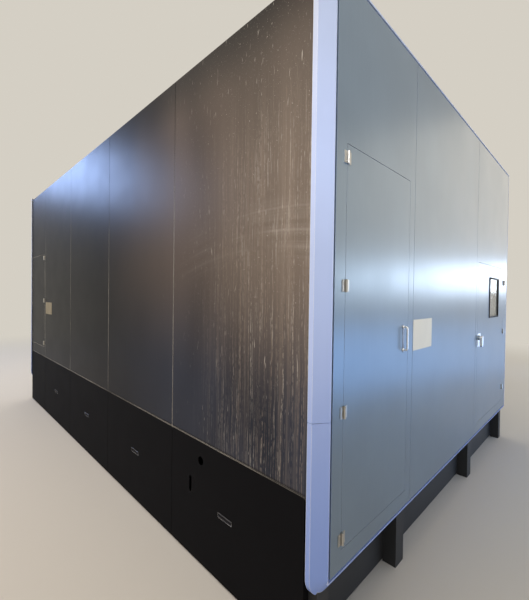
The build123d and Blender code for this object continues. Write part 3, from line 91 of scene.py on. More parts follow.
class Board:
    """A node tree, with the products and ramps that several patterns are made of."""

    def __init__(self, tree: NodeTree) -> None:
        """Works on the given tree."""
        self.tree = tree

    def add(self, kind: str, inputs: dict | None = None, **settings: object) -> Node:
        """Adds a node with its settings and links.

        Args:
            kind: The node's type name.
            inputs: Values or output sockets, by input name or number.
            **settings: Properties of the node itself.

        Returns:
            The new node.
        """
        node = self.tree.nodes.new(kind)
        for name, value in settings.items():
            setattr(node, name, value)
        for name, value in (inputs or {}).items():
            if isinstance(value, NodeSocket):
                self.tree.links.new(value, node.inputs[name])
            else:
                node.inputs[name].default_value = value
        return node

    def overlap(self, product: NodeSocket, *others: NodeSocket | float) -> NodeSocket:
        """Multiplies masks and shares.

        Args:
            product: The first mask.
            *others: What it is multiplied by.

        Returns:
            The product's output.
        """
        for other in others:
            product = self.add("ShaderNodeMath", {0: product, 1: other}, operation="MULTIPLY").outputs["Value"]
        return product

    def ramps(self, value: NodeSocket, *limits: Pair, middle: float | None = None) -> NodeSocket:
        """A smooth mask of a value, or of its distance from a middle.

        Args:
            value: What the mask follows.
            *limits: For each ramp, where it is 0 and where it is 1. The mask is their product.
            middle: Where the distance is taken from, or None for the value itself.

        Returns:
            The mask's output.
        """
        if middle is not None:
            apart = self.add("ShaderNodeMath", {0: value, 1: middle}, operation="SUBTRACT").outputs["Value"]
            value = self.add("ShaderNodeMath", {0: apart}, operation="ABSOLUTE").outputs["Value"]
        masks = []
        for start, stop in limits:
            levels = {"Value": value, "From Min": start, "From Max": stop}
            ramp = self.add("ShaderNodeMapRange", levels, interpolation_type="SMOOTHSTEP")
            masks.append(ramp.outputs["Result"])
        return self.overlap(*masks)


class Canvas(Board):
    """A material's tree while its finish is laid on, with the patterns that several finishes share."""

    def __init__(self, tree: NodeTree, settings: dict) -> None:
        """Adds the shader and the piece's own coordinates.

        Args:
            tree: The material's tree, still empty.
            settings: The shader's values by socket name, the base colour among them.
        """
        super().__init__(tree)
        self.shader = self.add("ShaderNodeBsdfPrincipled", settings)
        self.place = self.add("ShaderNodeTexCoord").outputs["Object"]
        self.colour: Colour | NodeSocket = settings["Base Color"]

    @cached_property
    def parts(self) -> bpy.types.NodeOutputs:
        """The coordinates one by one, by the name of their axis."""
        return self.add("ShaderNodeSeparateXYZ", {"Vector": self.place}).outputs

    def speckle(
        self, size_mm: Triple, cut: Pair, offset: float = 0.0, detail: float = 2.0, place: NodeSocket | None = None
    ) -> NodeSocket:
        """A noise with its own grain size along each axis, cut to a mask.

        Args:
            size_mm: The grain's size along X, Y and Z.
            cut: The noise values that become 0 and 1.
            offset: Moves the pattern, so that two masks differ.
            detail: Octaves of the noise.
            place: Its coordinates in metres, or None for the piece's own.

        Returns:
            The mask's output.
        """
        source = self.place if place is None else place
        scale = tuple(1 / (size * MM) for size in size_mm)
        moved = self.add("ShaderNodeMapping", {"Vector": source, "Location": (offset,) * 3, "Scale": scale})
        inputs = {"Vector": moved.outputs["Vector"], "Scale": 1.0, "Detail": detail}
        return self.ramps(self.add("ShaderNodeTexNoise", inputs).outputs["Fac"], cut)

    def edge_glints(self, radius_mm: float) -> NodeSocket:
        """A mask of the sharp edges, where a painted highlight stands for the light that they catch.

        Args:
            radius_mm: How far from an edge the mask reaches.

        Returns:
            The mask's output.
        """
        rounded = self.add("ShaderNodeBevel", {"Radius": radius_mm * MM}, samples=6).outputs["Normal"]
        flat = self.add("ShaderNodeNewGeometry").outputs["Normal"]
        likeness = self.add("ShaderNodeVectorMath", {0: rounded, 1: flat}, operation="DOT_PRODUCT")
        # the two normals agree to 0.985 or more on a face, and to 0.9 or less on an edge
        return self.ramps(likeness.outputs["Value"], (0.985, 0.9))

    def paint(self, mask: NodeSocket, colour: Colour | NodeSocket, share: float = 1.0) -> None:
        """Lays a colour over what is there, and hands the result to the shader.

        Args:
            mask: Where it goes.
            colour: The colour, in linear values or as an output.
            share: How much of it shows where the mask is 1.
        """
        shown = mask if share == 1.0 else self.overlap(mask, share)
        self.colour = self.add("ShaderNodeMix", {0: shown, 6: self.colour, 7: colour}, data_type="RGBA").outputs[2]
        self.tree.links.new(self.colour, self.shader.inputs["Base Color"])

    def vary(self, mask: NodeSocket, low: float, high: float) -> None:
        """Lets the roughness go from low to high with a mask."""
        gloss = self.add("ShaderNodeMapRange", {"Value": mask, "To Min": low, "To Max": high})
        self.tree.links.new(gloss.outputs["Result"], self.shader.inputs["Roughness"])

    def grain(self, size_mm: float, depth_mm: float, detail: float = 2.0) -> None:
        """Adds an even relief.

        Args:
            size_mm: The size of its bumps.
            depth_mm: How deep it is.
            detail: How many finer layers lie over the bumps.
        """
        noise = {"Vector": self.place, "Scale": 1 / (size_mm * MM), "Detail": detail}
        bumps = self.add("ShaderNodeTexNoise", noise).outputs["Fac"]
        relief = self.add("ShaderNodeBump", {"Height": bumps, "Distance": depth_mm * MM})
        self.tree.links.new(relief.outputs["Normal"], self.shader.inputs["Normal"])


# Finishes


@dataclass(frozen=True)
class Finish:
    """A plain, even surface, and the base of every other finish."""

    name: str
    colour: str
    roughness: float = 0.5
    metallic: float = 0.0
    specular: float = 0.5

    def material(self) -> Material:
        """Builds the material, with its constants on the shader's own sockets.

        Returns:
            The material.
        """
        made = bpy.data.materials.new(self.name)
        made.use_nodes = True
        made.node_tree.nodes.clear()
        settings = {
            "Base Color": linear(self.colour),
            "Roughness": self.roughness,
            "Metallic": self.metallic,
            "Specular IOR Level": self.specular,
        }
        art = Canvas(made.node_tree, settings)
        self.dress(art)
        art.add("ShaderNodeOutputMaterial", {"Surface": art.shader.outputs["BSDF"]})
        return made

    def dress(self, art: Canvas) -> None:
        """Adds pattern and relief to the shader; an even finish has none."""


@dataclass(frozen=True)
class PowderCoat(Finish):
    """Powder-coated sheet steel: an orange peel softens its gloss, and its edges get a painted highlight."""

    # colour of the painted highlight on the edges; MetallicCoat also uses it for its flakes
    glint_and_flake_colour: str = "#C9CCD0"
    edge_mm: float = 2.5
    peel_mm: float = 6.0  # drawn coarser than the real 2 mm, which is too fine to show
    peel_depth_mm: float = 0.02
    smudge_mm: float = 420.0
    smudge: float = 0.025

    def lay_paint(self, art: Canvas) -> None:
        """Gives the paint faint cloudy differences.

        Args:
            art: The material's canvas.
        """
        clouds = art.speckle((self.smudge_mm,) * 3, (0.35, 0.65), detail=3.0)
        lifted = tuple(min(1.0, level * (1 + 2.5 * self.smudge)) for level in linear(self.colour)[:3])
        art.paint(clouds, (*lifted, 1.0))

    def dress(self, art: Canvas) -> None:
        """Adds the paint's differences, the painted highlight on its edges and the orange peel.

        Args:
            art: The material's canvas.
        """
        self.lay_paint(art)
        # painted highlight: a pale colour along every sharp edge, standing for the light that the edge catches
        art.paint(self.edge_glint_mask(art), linear(self.glint_and_flake_colour))
        rough = art.speckle((self.smudge_mm * 0.6,) * 3, (0.3, 0.7), offset=3.0)
        art.vary(rough, self.roughness, self.roughness + self.smudge)
        art.grain(self.peel_mm, self.peel_depth_mm)

    def edge_glint_mask(self, art: Canvas) -> NodeSocket:
        """Where the painted highlight goes: all sharp edges."""
        return art.edge_glints(self.edge_mm)


@dataclass(frozen=True)
class MetallicCoat(PowderCoat):
    """Metallic powder coat: flakes laid down the panel give it a faint upright grain."""

    grain_mm: float = 4.0
    grain_length_mm: float = 300.0
    grain_share: float = 0.03

    def lay_paint(self, art: Canvas) -> None:
        """Lightens the paint along its upright grain.

        Args:
            art: The material's canvas.
        """
        super().lay_paint(art)
        flakes = art.speckle((self.grain_mm, self.grain_mm, self.grain_length_mm), (0.3, 0.75))
        art.paint(flakes, linear(self.glint_and_flake_colour), self.grain_share)


@dataclass(frozen=True)
class PaintedShadeCoat(PowderCoat):
    """Powder coat with painted shade that deepens it towards the floor, greyer under the roof, dark in its one joint.
    """

    # painted shade: a deeper blue that grows towards the floor
    painted_shade_colour: str = "#7092E2"
    painted_shade_share: float = 0.75
    painted_shade_ramp: Pair = (1.9, 0.3)
    high_colour: str = "#A2A9B5"
    high_share: float = 0.5
    high_ramp: Pair = (2.1, 2.8)
    joint_z: float = 1.045
    joint_clear: Pair = (0.006, 0.012)

    def lay_paint(self, art: Canvas) -> None:
        """Paints shade that makes the paint deeper towards the floor, and makes it greyer under the roof.

        Args:
            art: The material's canvas.
        """
        super().lay_paint(art)
        # painted shade, deeper towards the floor
        art.paint(art.ramps(art.parts["Z"], self.painted_shade_ramp), linear(self.painted_shade_colour), self.painted_shade_share)
        art.paint(art.ramps(art.parts["Z"], self.high_ramp), linear(self.high_colour), self.high_share)

    def edge_glint_mask(self, art: Canvas) -> NodeSocket:
        """A painted highlight on all sharp edges but those of the joint."""
        clear = art.ramps(art.parts["Z"], self.joint_clear, middle=self.joint_z)
        return art.overlap(art.edge_glints(self.edge_mm), clear)


@dataclass(frozen=True)
class StainedCoat(PowderCoat):
    """Near-black powder coat under dried coolant: a brownish film, fine runs, and a few pale drips.

    The film covers the tall panels and thins out away from the left trim; low down it turns blue-grey, a painted
    reflection. Nothing runs below the seam between the tall and the low panels, and the low ones are matt.
    from the left corner a layer is still seen. A ramp or top holds the heights where a layer
    starts and is at its full strength.
    """

    corner_x: float = -2.55
    seam_z: float = 0.72
    low_roughness: float = 0.36
    film_colour: str = "#85766B"
    # painted reflection: the blue-grey of the film low down stands for reflected bluish light
    painted_reflection_colour: str = "#4C5264"
    film_share: float = 0.62
    film_reach: float = 2.5
    film_cloud_mm: Triple = (900.0, 900.0, 2600.0)
    film_top: Pair = (3.0, 2.6)
    reflection_to_film_ramp: Pair = (1.0, 1.9)
    haze_share: float = 0.42
    haze_ramps: tuple[Pair, Pair] = ((3.0, 2.1), (0.9, 1.9))
    run_colour: str = "#A39486"
    run_mm: float = 3.2
    run_length_mm: float = 750.0
    run_reach: float = 0.95
    run_top: Pair = (2.75, 2.0)
    drip_colour: str = "#CFC9BF"
    drip_reach: float = 1.5
    speck_ramp: Pair = (0.9, 1.7)
    wander_mm: float = 9.0
    wander_length_mm: float = 170.0
    wipe_centre: Triple = (-2.25, 0.0, -0.33)
    wipe_radius: float = 2.2
    wipe_band: float = 0.17
    wipe_reach: float = 1.15
    wipe_share: float = 0.2
    # where the painted edge highlight fades under the roof, and the size of its patches
    glint_top: Pair = (2.7, 1.9)
    glint_patch_mm: Triple = (900.0, 900.0, 700.0)

    def fade(self, art: Canvas, reach: float) -> NodeSocket:
        """A mask that is 1 at the left corner and 0 at this distance from it."""
        return art.ramps(art.parts["X"], (self.corner_x + reach, self.corner_x + 0.1 * reach))

    def wander(self, art: Canvas) -> NodeSocket:
        """Shifts the place to and fro across the panel, so that a run doesn't fall dead straight.

        Args:
            art: The material's canvas.

        Returns:
            The shifted coordinates.
        """
        sway = art.speckle((260.0, THROUGH_MM, self.wander_length_mm), (0.2, 0.8), offset=53.0, detail=4.0)
        shift = art.add("ShaderNodeCombineXYZ", {"X": art.overlap(sway, self.wander_mm * MM)}).outputs["Vector"]
        return art.add("ShaderNodeVectorMath", {0: art.place, 1: shift}, operation="ADD").outputs["Vector"]

    def wipes(self, art: Canvas) -> NodeSocket:
        """Faint flat arcs in a band, where a cloth went over the dried film.

        Args:
            art: The material's canvas.

        Returns:
            The mask's output.
        """
        flat = art.add("ShaderNodeVectorMath", {0: art.place, 1: (1.0, 0.0, 1.0)}, operation="MULTIPLY")
        ends = {0: flat.outputs["Vector"], 1: self.wipe_centre}
        away = art.add("ShaderNodeVectorMath", ends, operation="DISTANCE").outputs["Value"]
        rings = art.add("ShaderNodeCombineXYZ", {"X": away}).outputs["Vector"]
        stripes = art.speckle((34.0,) * 3, (0.4, 0.75), offset=31.0, detail=4.0, place=rings)
        patches = art.speckle((420.0,) * 3, (0.34, 0.55), offset=17.0)
        band = art.ramps(away, (self.wipe_band, self.wipe_band * 0.6), middle=self.wipe_radius)
        return art.overlap(stripes, patches, self.fade(art, self.wipe_reach), band)

    def lay_paint(self, art: Canvas) -> None:
        """Lays the film, with its painted reflection low down, the haze, the runs, the drips and the wipes over the
        paint.

        Args:
            art: The material's canvas.
        """
        super().lay_paint(art)
        height = art.parts["Z"]
        normal = art.add("ShaderNodeTexCoord").outputs["Normal"]
        facing = art.add("ShaderNodeSeparateXYZ", {"Vector": normal}).outputs["Y"]
        tall = art.overlap(art.ramps(height, (self.seam_z, self.seam_z + 0.02)), art.ramps(facing, (0.4, 0.6)))
        wide, near, middle = (
            art.overlap(self.fade(art, reach), tall) for reach in (self.film_reach, self.run_reach, self.drip_reach)
        )
        clouds = art.speckle(self.film_cloud_mm, (0.2, 0.7), offset=5.0)
        # painted reflection: lower down the film turns blue-grey, as if it mirrored bluish light
        film_and_reflection_mix = {0: art.ramps(height, self.reflection_to_film_ramp), 6: linear(self.painted_reflection_colour), 7: linear(self.film_colour)}
        film_and_reflection = art.add("ShaderNodeMix", film_and_reflection_mix, data_type="RGBA").outputs[2]
        art.paint(art.overlap(wide, clouds, art.ramps(height, self.film_top)), film_and_reflection, self.film_share)
        haze = art.overlap(near, art.ramps(height, *self.haze_ramps))
        art.paint(haze, linear(self.run_colour), self.haze_share)
        runs = art.overlap(near, art.ramps(height, self.run_top))
        specked = art.overlap(middle, art.ramps(height, self.speck_ramp))
        fine, length = self.run_mm, self.run_length_mm
        swayed = self.wander(art)
        gaps = art.speckle((fine * 3, THROUGH_MM, fine * 7), (0.3, 0.62), offset=61.0, detail=3.0, place=swayed)
        broken = art.overlap(runs, gaps)
        layers = (
            # width and length in mm, the noise values that are cut, where, how strong, colour
            (fine * 7, length * 2.0, (0.4, 0.8), runs, 0.18, self.run_colour),
            (fine, length, (0.5, 0.72), broken, 0.5, self.run_colour),
            (fine * 1.7, length * 0.5, (0.62, 0.72), broken, 0.42, self.drip_colour),
            (fine * 1.6, fine * 24, (0.74, 0.8), middle, 0.6, self.drip_colour),
            (fine * 2.2, fine * 3.0, (0.75, 0.8), specked, 0.55, self.drip_colour),
            (fine * 1.1, fine * 1.6, (0.72, 0.79), specked, 0.4, self.drip_colour),
        )
        for number, (wide_mm, long_mm, cut, where, share, colour) in enumerate(layers):
            marks = art.speckle((wide_mm, THROUGH_MM, long_mm), cut, 7.0 * number, 1.0, swayed)
            art.paint(art.overlap(marks, where), linear(colour), share)
        art.paint(art.overlap(self.wipes(art), tall), linear(self.drip_colour), self.wipe_share)

    def edge_glint_mask(self, art: Canvas) -> NodeSocket:
        """Painted highlights on the sharp edges of the tall panels only, weaker near the roof and here and there.

        Args:
            art: The material's canvas.

        Returns:
            The mask's output.
        """
        # painted highlight on the edges, only above the seam and fading towards the roof
        levels = art.ramps(art.parts["Z"], (self.seam_z - 0.012, self.seam_z - 0.002), self.glint_top)
        patches = art.speckle(self.glint_patch_mm, (0.25, 0.55), offset=43.0)
        return art.overlap(art.edge_glints(self.edge_mm), levels, patches)

    def dress(self, art: Canvas) -> None:
        """Adds the coat's own pattern, and leaves the low panels matt.

        Args:
            art: The material's canvas.
        """
        super().dress(art)
        gloss = art.shader.inputs["Roughness"]
        low = art.overlap(art.ramps(art.parts["Z"], (self.seam_z, self.seam_z - 0.01)), self.low_roughness)
        matt = art.add("ShaderNodeMath", {0: gloss.links[0].from_socket, 1: low}, operation="ADD")
        art.tree.links.new(matt.outputs["Value"], gloss)


@dataclass(frozen=True)
class BrushedSteel(Finish):
    """Ground or brushed metal: fine scratches in one direction vary its gloss, and it darkens in patches."""

    metallic: float = 1.0
    along: Axis = Axis.Z
    scratch_mm: float = 1.2
    scratch_length_mm: float = 90.0
    polish: float = 0.75
    patch_mm: float = 60.0
    dull_colour: str = "#4A4C50"
    dull_share: float = 0.12

    def dress(self, art: Canvas) -> None:
        """Adds the scratches to the gloss, and dull patches to the colour.

        Args:
            art: The material's canvas.
        """
        size = [self.scratch_mm] * 3
        size[self.along.value] = self.scratch_length_mm
        scratches = art.speckle(tuple(size), (0.25, 0.75))
        art.vary(scratches, self.roughness * self.polish, self.roughness * (2 - self.polish))
        patches = art.speckle((self.patch_mm,) * 3, (0.45, 0.75), detail=3.0, offset=9.0)
        art.paint(patches, linear(self.dull_colour), self.dull_share)


@dataclass(frozen=True)
class CastEnamel(Finish):
    """Machine enamel over filled cast iron: thick, slightly wavy paint with a dried coolant film."""

    wave_mm: float = 14.0
    wave_depth_mm: float = 0.15
    film_mm: float = 340.0
    film_colour: str = "#8E8A7C"
    film_share: float = 0.22
    film_roughness: float = 0.15

    def dress(self, art: Canvas) -> None:
        """Adds the casting's waves under the paint, and the film over it.

        Args:
            art: The material's canvas.
        """
        art.grain(self.wave_mm, self.wave_depth_mm, detail=3.0)
        film = art.speckle((self.film_mm, self.film_mm, self.film_mm * 1.6), (0.42, 0.75), detail=5.0)
        art.paint(film, linear(self.film_colour), self.film_share)
        art.vary(film, self.roughness, self.roughness + self.film_roughness)


@dataclass(frozen=True)
class MouldedPlastic(Finish):
    """Injection-moulded plastic: the mould leaves a matt grain, and use polishes it in patches."""

    grain_mm: float = 1.5  # drawn coarser than the real 0.3 mm, which is too fine to show
    grain_depth_mm: float = 0.04
    patch_mm: float = 28.0
    worn_colour: str = "#E8E6E0"
    worn_share: float = 0.01
    worn_gloss: float = 0.7

    def dress(self, art: Canvas) -> None:
        """Adds the mould's grain and the polished patches.

        Args:
            art: The material's canvas.
        """
        art.grain(self.grain_mm, self.grain_depth_mm)
        patches = art.speckle((self.patch_mm,) * 3, (0.4, 0.7), detail=3.0)
        art.vary(patches, self.roughness, self.roughness * self.worn_gloss)
        art.paint(patches, linear(self.worn_colour), self.worn_share)


@dataclass(frozen=True)
class ExtrudedRubber(MouldedPlastic):
    """Extruded rubber: dull and nearly black, with a dusty bloom in patches."""

    specular: float = 0.25
    grain_mm: float = 2.2  # drawn coarser than the real 0.5 mm, which is too fine to show
    patch_mm: float = 90.0
    worn_colour: str = "#6E6E6C"
    worn_share: float = 0.06


@dataclass(frozen=True)
class PlateLaminate(MouldedPlastic):
    """Cream laminate on a thin plate: a faint linen press, yellowed a little in clouds."""

    specular: float = 0.3
    grain_mm: float = 2.0
    grain_depth_mm: float = 0.02
    patch_mm: float = 160.0
    worn_colour: str = "#C4B894"
    worn_share: float = 0.12


@dataclass(frozen=True)
class SmearedGlass(Finish):
    """Dark cover glass over a switched-off screen: glossy, with dull finger smears."""

    smear_mm: float = 24.0
    smear_colour: str = "#22262A"
    smear_share: float = 0.35
    smear_roughness: float = 0.3

    def dress(self, art: Canvas) -> None:
        """Adds the smears to the gloss and the colour.

        Args:
            art: The material's canvas.
        """
        smears = art.speckle((self.smear_mm * 2, self.smear_mm, self.smear_mm * 0.5), (0.5, 0.8), detail=4.0)
        art.vary(smears, self.roughness, self.roughness + self.smear_roughness)
        art.paint(smears, linear(self.smear_colour), self.smear_share)


@dataclass(frozen=True)
class SafetyGlass(Finish):
    """Laminated polycarbonate and glass: clear, with a slight warm haze from coolant."""

    roughness: float = 0.12
    ior: float = 1.52
    clearness: float = 0.82
    haze_mm: float = 160.0
    haze_roughness: float = 0.11

    def dress(self, art: Canvas) -> None:
        """Lets light through and lays a cloudy film over it.

        Args:
            art: The material's canvas.
        """
        art.shader.inputs["IOR"].default_value = self.ior
        art.shader.inputs["Transmission Weight"].default_value = self.clearness
        film = art.speckle((self.haze_mm,) * 3, (0.3, 0.8), detail=4.0)
        art.vary(film, self.roughness, self.roughness + self.haze_roughness)


# Polyester powder coat on folded sheet: a pale blue satin with a painted highlight on its edges, painted shade
# deepening it towards the floor, and greyer on top.
TRIM = PaintedShadeCoat("trim_powder_coat", "#BECEF4", 0.34, glint_and_flake_colour="#F8FAFF", edge_mm=3.0)
# Metallic powder coat on flat sheet: blue-grey, mirrors lamps as soft bands, with a faint upright grain.
SIDE = MetallicCoat("side_metallic_powder_coat", "#7A8A98", 0.28, 0.45, glint_and_flake_colour="#B9C6DA", edge_mm=2.0)
# Low-gloss powder coat on flat sheet: near-black, under a brown film with pale runs and a blue-grey painted
# reflection low in the film, matt on the low panels.
STAINED = StainedCoat("rear_charcoal_powder_coat", "#0D0D10", 0.36, specular=0.07, glint_and_flake_colour="#BDB9B0", edge_mm=4.0)
# The same coat on the pressed grips: grey, with a painted highlight on its rim.
GRIP = PowderCoat("grip_powder_coat", "#3A3A3E", 0.35, glint_and_flake_colour="#C8C8C8", edge_mm=1.2)
# Matt powder coat on welded tube: black, hardly any gloss.
FRAME_COAT = PowderCoat("frame_powder_coat", "#1E1F21", 0.6, glint_and_flake_colour="#3A3B3D")
# Zinc-plated steel: bright, slightly blue and finely brushed.
ZINC = BrushedSteel("zinc_plated_steel", "#BDBBB6", 0.36)
# Satin anodised aluminium bar and plate: nearly white, with a soft sheen.
ANODISED = BrushedSteel("satin_anodised_aluminium", "#EEF0F2", 0.42, dull_share=0.05)
# Brushed stainless plate behind the pull: a grey that hands have dulled.
STAINLESS_PLATE = BrushedSteel("brushed_stainless_plate", "#8E9298", 0.5, dull_share=0.3)
# Machine enamel on filled iron: warm grey-white, thick and slightly wavy.
ENAMEL = CastEnamel("machine_enamel_on_iron", "#C9CCC8", 0.45)
# Ground steel rails and rods: bright, with streaks along the grinding.
GROUND_STEEL = BrushedSteel("ground_steel", "#B5B8BC", 0.25, along=Axis.X)
# Milled iron table: mid grey, with broader cutter marks.
MILLED_IRON = BrushedSteel("milled_iron", "#84878B", 0.4, along=Axis.X, scratch_mm=3.0)
# Stainless sheet of the splash liner: brushed level, dulled by coolant.
STAINLESS = BrushedSteel("stainless_sheet", "#B9BCBF", 0.35, along=Axis.X, patch_mm=220.0, dull_share=0.2)
# Enamel on motor housings: dark grey, slightly wavy.
MOTOR_ENAMEL = CastEnamel("motor_enamel", "#4A4E55", 0.5, film_share=0.12)
# Moulded ABS of the drive modules: matt mid grey.
DRIVE_PLASTIC = MouldedPlastic("drive_moulded_abs", "#5A5C5F", 0.55)
# Extruded EPDM rubber round the panes: black and dull.
EDGE_RUBBER = ExtrudedRubber("edge_rubber", "#17181A", 0.7)
# Laminated safety glass: clear, warm and a little cloudy.
GLASS = SafetyGlass("laminated_safety_glass", "#C9C3B2")
# Machined aluminium of the carousel: pale, with turned streaks.
CARVED_ALUMINIUM = BrushedSteel("machined_aluminium", "#C4C6C9", 0.34, along=Axis.Y, scratch_mm=0.8, polish=0.93)
# Moulded ABS keys and knobs: nearly black, satin where fingers rub.
KEY_PLASTIC = MouldedPlastic("key_moulded_abs", "#222327", 0.45)
# Glossy moulded ABS of the push buttons: red, green and amber.
RED = MouldedPlastic("red_moulded_abs", "#B81414", 0.3)
GREEN = MouldedPlastic("green_moulded_abs", "#1E8F3A", 0.3)
AMBER = MouldedPlastic("amber_moulded_abs", "#D9941B", 0.3)
# Cream laminate plates: matt and bare; the rear one is stained brown.
LAMINATE = PlateLaminate("cream_laminate", "#EFE7D2", 0.6)
AGED_LAMINATE = PlateLaminate("aged_cream_laminate", "#8C826B", 0.6)
# Black-oxide steel caps: dark, with a faint oily sheen.
BLACK_OXIDE = BrushedSteel("black_oxide_steel", "#3B3C3F", 0.38, scratch_mm=0.6, scratch_length_mm=2.0)
# Cover glass of the pendant's screen, switched off: nearly black and glossy.
SCREEN = SmearedGlass("screen_glass", "#0D1216", 0.12)

SLOT_FINISHES = {
    "trim_paint": TRIM,
    "side_paint": SIDE,
    "rear_paint": STAINED,
    "grip_metal": GRIP,
    "frame_paint": FRAME_COAT,
    "hinge_metal": ZINC,
    "pull_metal": ANODISED,
    "casting_paint": ENAMEL,
    "machined_steel": GROUND_STEEL,
    "machined_iron": MILLED_IRON,
    "liner_steel": STAINLESS,
    "motor_paint": MOTOR_ENAMEL,
    "drive_plastic": DRIVE_PLASTIC,
    "window_rubber": EDGE_RUBBER,
    "window_glass": GLASS,
    "carousel_aluminium": CARVED_ALUMINIUM,
    "key_plastic": KEY_PLASTIC,
    "red_plastic": RED,
    "green_plastic": GREEN,
    "amber_plastic": AMBER,
}


class Palette:
    """Builds each finish once and hands out its material."""

    def __init__(self) -> None:
        """Starts with no material made."""
        self.made: dict[str, Material] = {}

    def __getitem__(self, finish: Finish) -> Material:
        """The finish's material, made when it is first asked for.

        Args:
            finish: The finish.

        Returns:
            Its material.
        """
        if finish.name not in self.made:
            self.made[finish.name] = finish.material()
        return self.made[finish.name]


# Geometry Nodes trees


class Tree(Board):
    """A Geometry Nodes tree with named inputs."""

    def __init__(self, name: str, inputs: dict[str, str]) -> None:
        """Makes the tree, its interface and its input node.

        Args:
            name: The tree's name.
            inputs: Kind of socket by input name, without the geometry and the material.
        """
        super().__init__(bpy.data.node_groups.new(name, "GeometryNodeTree"))
        kinds = {"Geometry": "Geometry", **inputs, "Material": "Material"}
        for label, kind in kinds.items():
            self.tree.interface.new_socket(label, in_out="INPUT", socket_type=f"NodeSocket{kind}")
        self.tree.interface.new_socket("Geometry", in_out="OUTPUT", socket_type="NodeSocketGeometry")
        self.source = self.add("NodeGroupInput").outputs

    def close(self, geometry: NodeSocket) -> NodeTree:
        """Makes the instances real, gives them the material and joins them to the output.

        Args:
            geometry: What the tree has made.

        Returns:
            The finished tree.
        """
        real = self.add("GeometryNodeRealizeInstances", {"Geometry": geometry}).outputs["Geometry"]
        dressed = self.add("GeometryNodeSetMaterial", {"Geometry": real, "Material": self.source["Material"]})
        self.add("NodeGroupOutput", {"Geometry": dressed.outputs["Geometry"]})
        return self.tree

    @staticmethod
    def identifier(tree: NodeTree, name: str) -> str:
        """The identifier of the input with this name."""
        return next(i.identifier for i in tree.interface.items_tree if i.in_out == "INPUT" and i.name == name)


def screw_tree() -> NodeTree:
    """Socket-head screws: a round head with a hexagonal socket on every point.

    Returns:
        The tree; its host's points have a "facing" vector each.
    """
    made = Tree("socket_screws", {"Head Radius": "Float", "Head Height": "Float", "Socket Radius": "Float"})
    height = made.source["Head Height"]
    barrel = {"Vertices": 16, "Radius": made.source["Head Radius"], "Depth": height}
    head = made.add("GeometryNodeMeshCylinder", barrel).outputs["Mesh"]
    hexagon = {"Vertices": 6, "Radius": made.source["Socket Radius"], "Depth": height}
    socket = made.add("GeometryNodeMeshCylinder", hexagon).outputs["Mesh"]
    half = made.add("ShaderNodeMath", {0: height, 1: 0.5}, operation="MULTIPLY").outputs["Value"]
    raised = made.add("ShaderNodeCombineXYZ", {"Z": half}).outputs["Vector"]
    lifted = made.add("GeometryNodeTransform", {"Geometry": socket, "Translation": raised}).outputs["Geometry"]
    bored = made.add("GeometryNodeMeshBoolean", {0: head, 1: lifted}, operation="DIFFERENCE").outputs["Mesh"]
    seated = made.add("GeometryNodeTransform", {"Geometry": bored, "Translation": raised}).outputs["Geometry"]
    facing = made.add("GeometryNodeInputNamedAttribute", {"Name": "facing"}, data_type="FLOAT_VECTOR")
    ways = {"Vector": facing.outputs["Attribute"]}
    turn = made.add("FunctionNodeAlignRotationToVector", ways, axis="Z").outputs["Rotation"]
    points = made.add("GeometryNodeMeshToPoints", {"Mesh": made.source["Geometry"]}).outputs["Points"]
    screws = made.add("GeometryNodeInstanceOnPoints", {"Points": points, "Instance": seated, "Rotation": turn})
    return made.close(screws.outputs["Instances"])


def seal_tree() -> NodeTree:
    """A rubber bead that runs round a rounded rectangle in the XY plane of its host.

    Returns:
        The tree.
    """
    made = Tree("edge_seal", {"Width": "Float", "Height": "Float", "Corner": "Float", "Bead": "Float"})
    size = {"Width": made.source["Width"], "Height": made.source["Height"]}
    path = made.add("GeometryNodeCurvePrimitiveQuadrilateral", size).outputs["Curve"]
    corners = {"Curve": path, "Radius": made.source["Corner"], "Count": 5}
    rounded = made.add("GeometryNodeFilletCurve", corners, mode="POLY").outputs["Curve"]
    ring = {"Resolution": 8, "Radius": made.source["Bead"]}
    bead = made.add("GeometryNodeCurvePrimitiveCircle", ring).outputs["Curve"]
    swept = made.add("GeometryNodeCurveToMesh", {"Curve": rounded, "Profile Curve": bead, "Fill Caps": True})
    return made.close(swept.outputs["Mesh"])


def slat_tree() -> NodeTree:
    """A row of cooling slats from every point of its host.

    Returns:
        The tree.
    """
    made = Tree("cooling_slats", {"Count": "Int", "Pitch": "Vector", "Slat": "Vector"})
    line = {"Count": made.source["Count"], "Offset": made.source["Pitch"]}
    row = made.add("GeometryNodeMeshLine", line, mode="OFFSET").outputs["Mesh"]
    slat = made.add("GeometryNodeMeshCube", {"Size": made.source["Slat"]}).outputs["Mesh"]
    slats = made.add("GeometryNodeInstanceOnPoints", {"Points": row, "Instance": slat}).outputs["Instances"]
    origins = made.add("GeometryNodeMeshToPoints", {"Mesh": made.source["Geometry"]}).outputs["Points"]
    banks = made.add("GeometryNodeInstanceOnPoints", {"Points": origins, "Instance": slats})
    return made.close(banks.outputs["Instances"])


# What every sub-assembly is built with


def add_object(name: str, data: ID) -> Object:
    """Puts an object of some data in the scene.

    Args:
        name: The object's name.
        data: Its mesh, lamp or camera.

    Returns:
        The object, unturned at the origin.
    """
    made = bpy.data.objects.new(name, data)
    bpy.context.scene.collection.objects.link(made)
    return made


def sideways(facing: Vector) -> Vector:
    """The level direction along a face that faces left, right, front or rear."""
    return Vector((abs(facing.y), abs(facing.x), 0))


def stand(mesh: Mesh, centre: Vector, facing: Vector) -> None:
    """Turns a mesh that lies in the XY plane upright, and moves it to its seat.

    Args:
        mesh: The mesh.
        centre: Where its origin goes.
        facing: The way that its +Z turns to, level.
    """
    turn = Matrix((UP.cross(facing), UP, facing)).transposed().to_4x4()
    mesh.transform(Matrix.Translation(centre) @ turn)


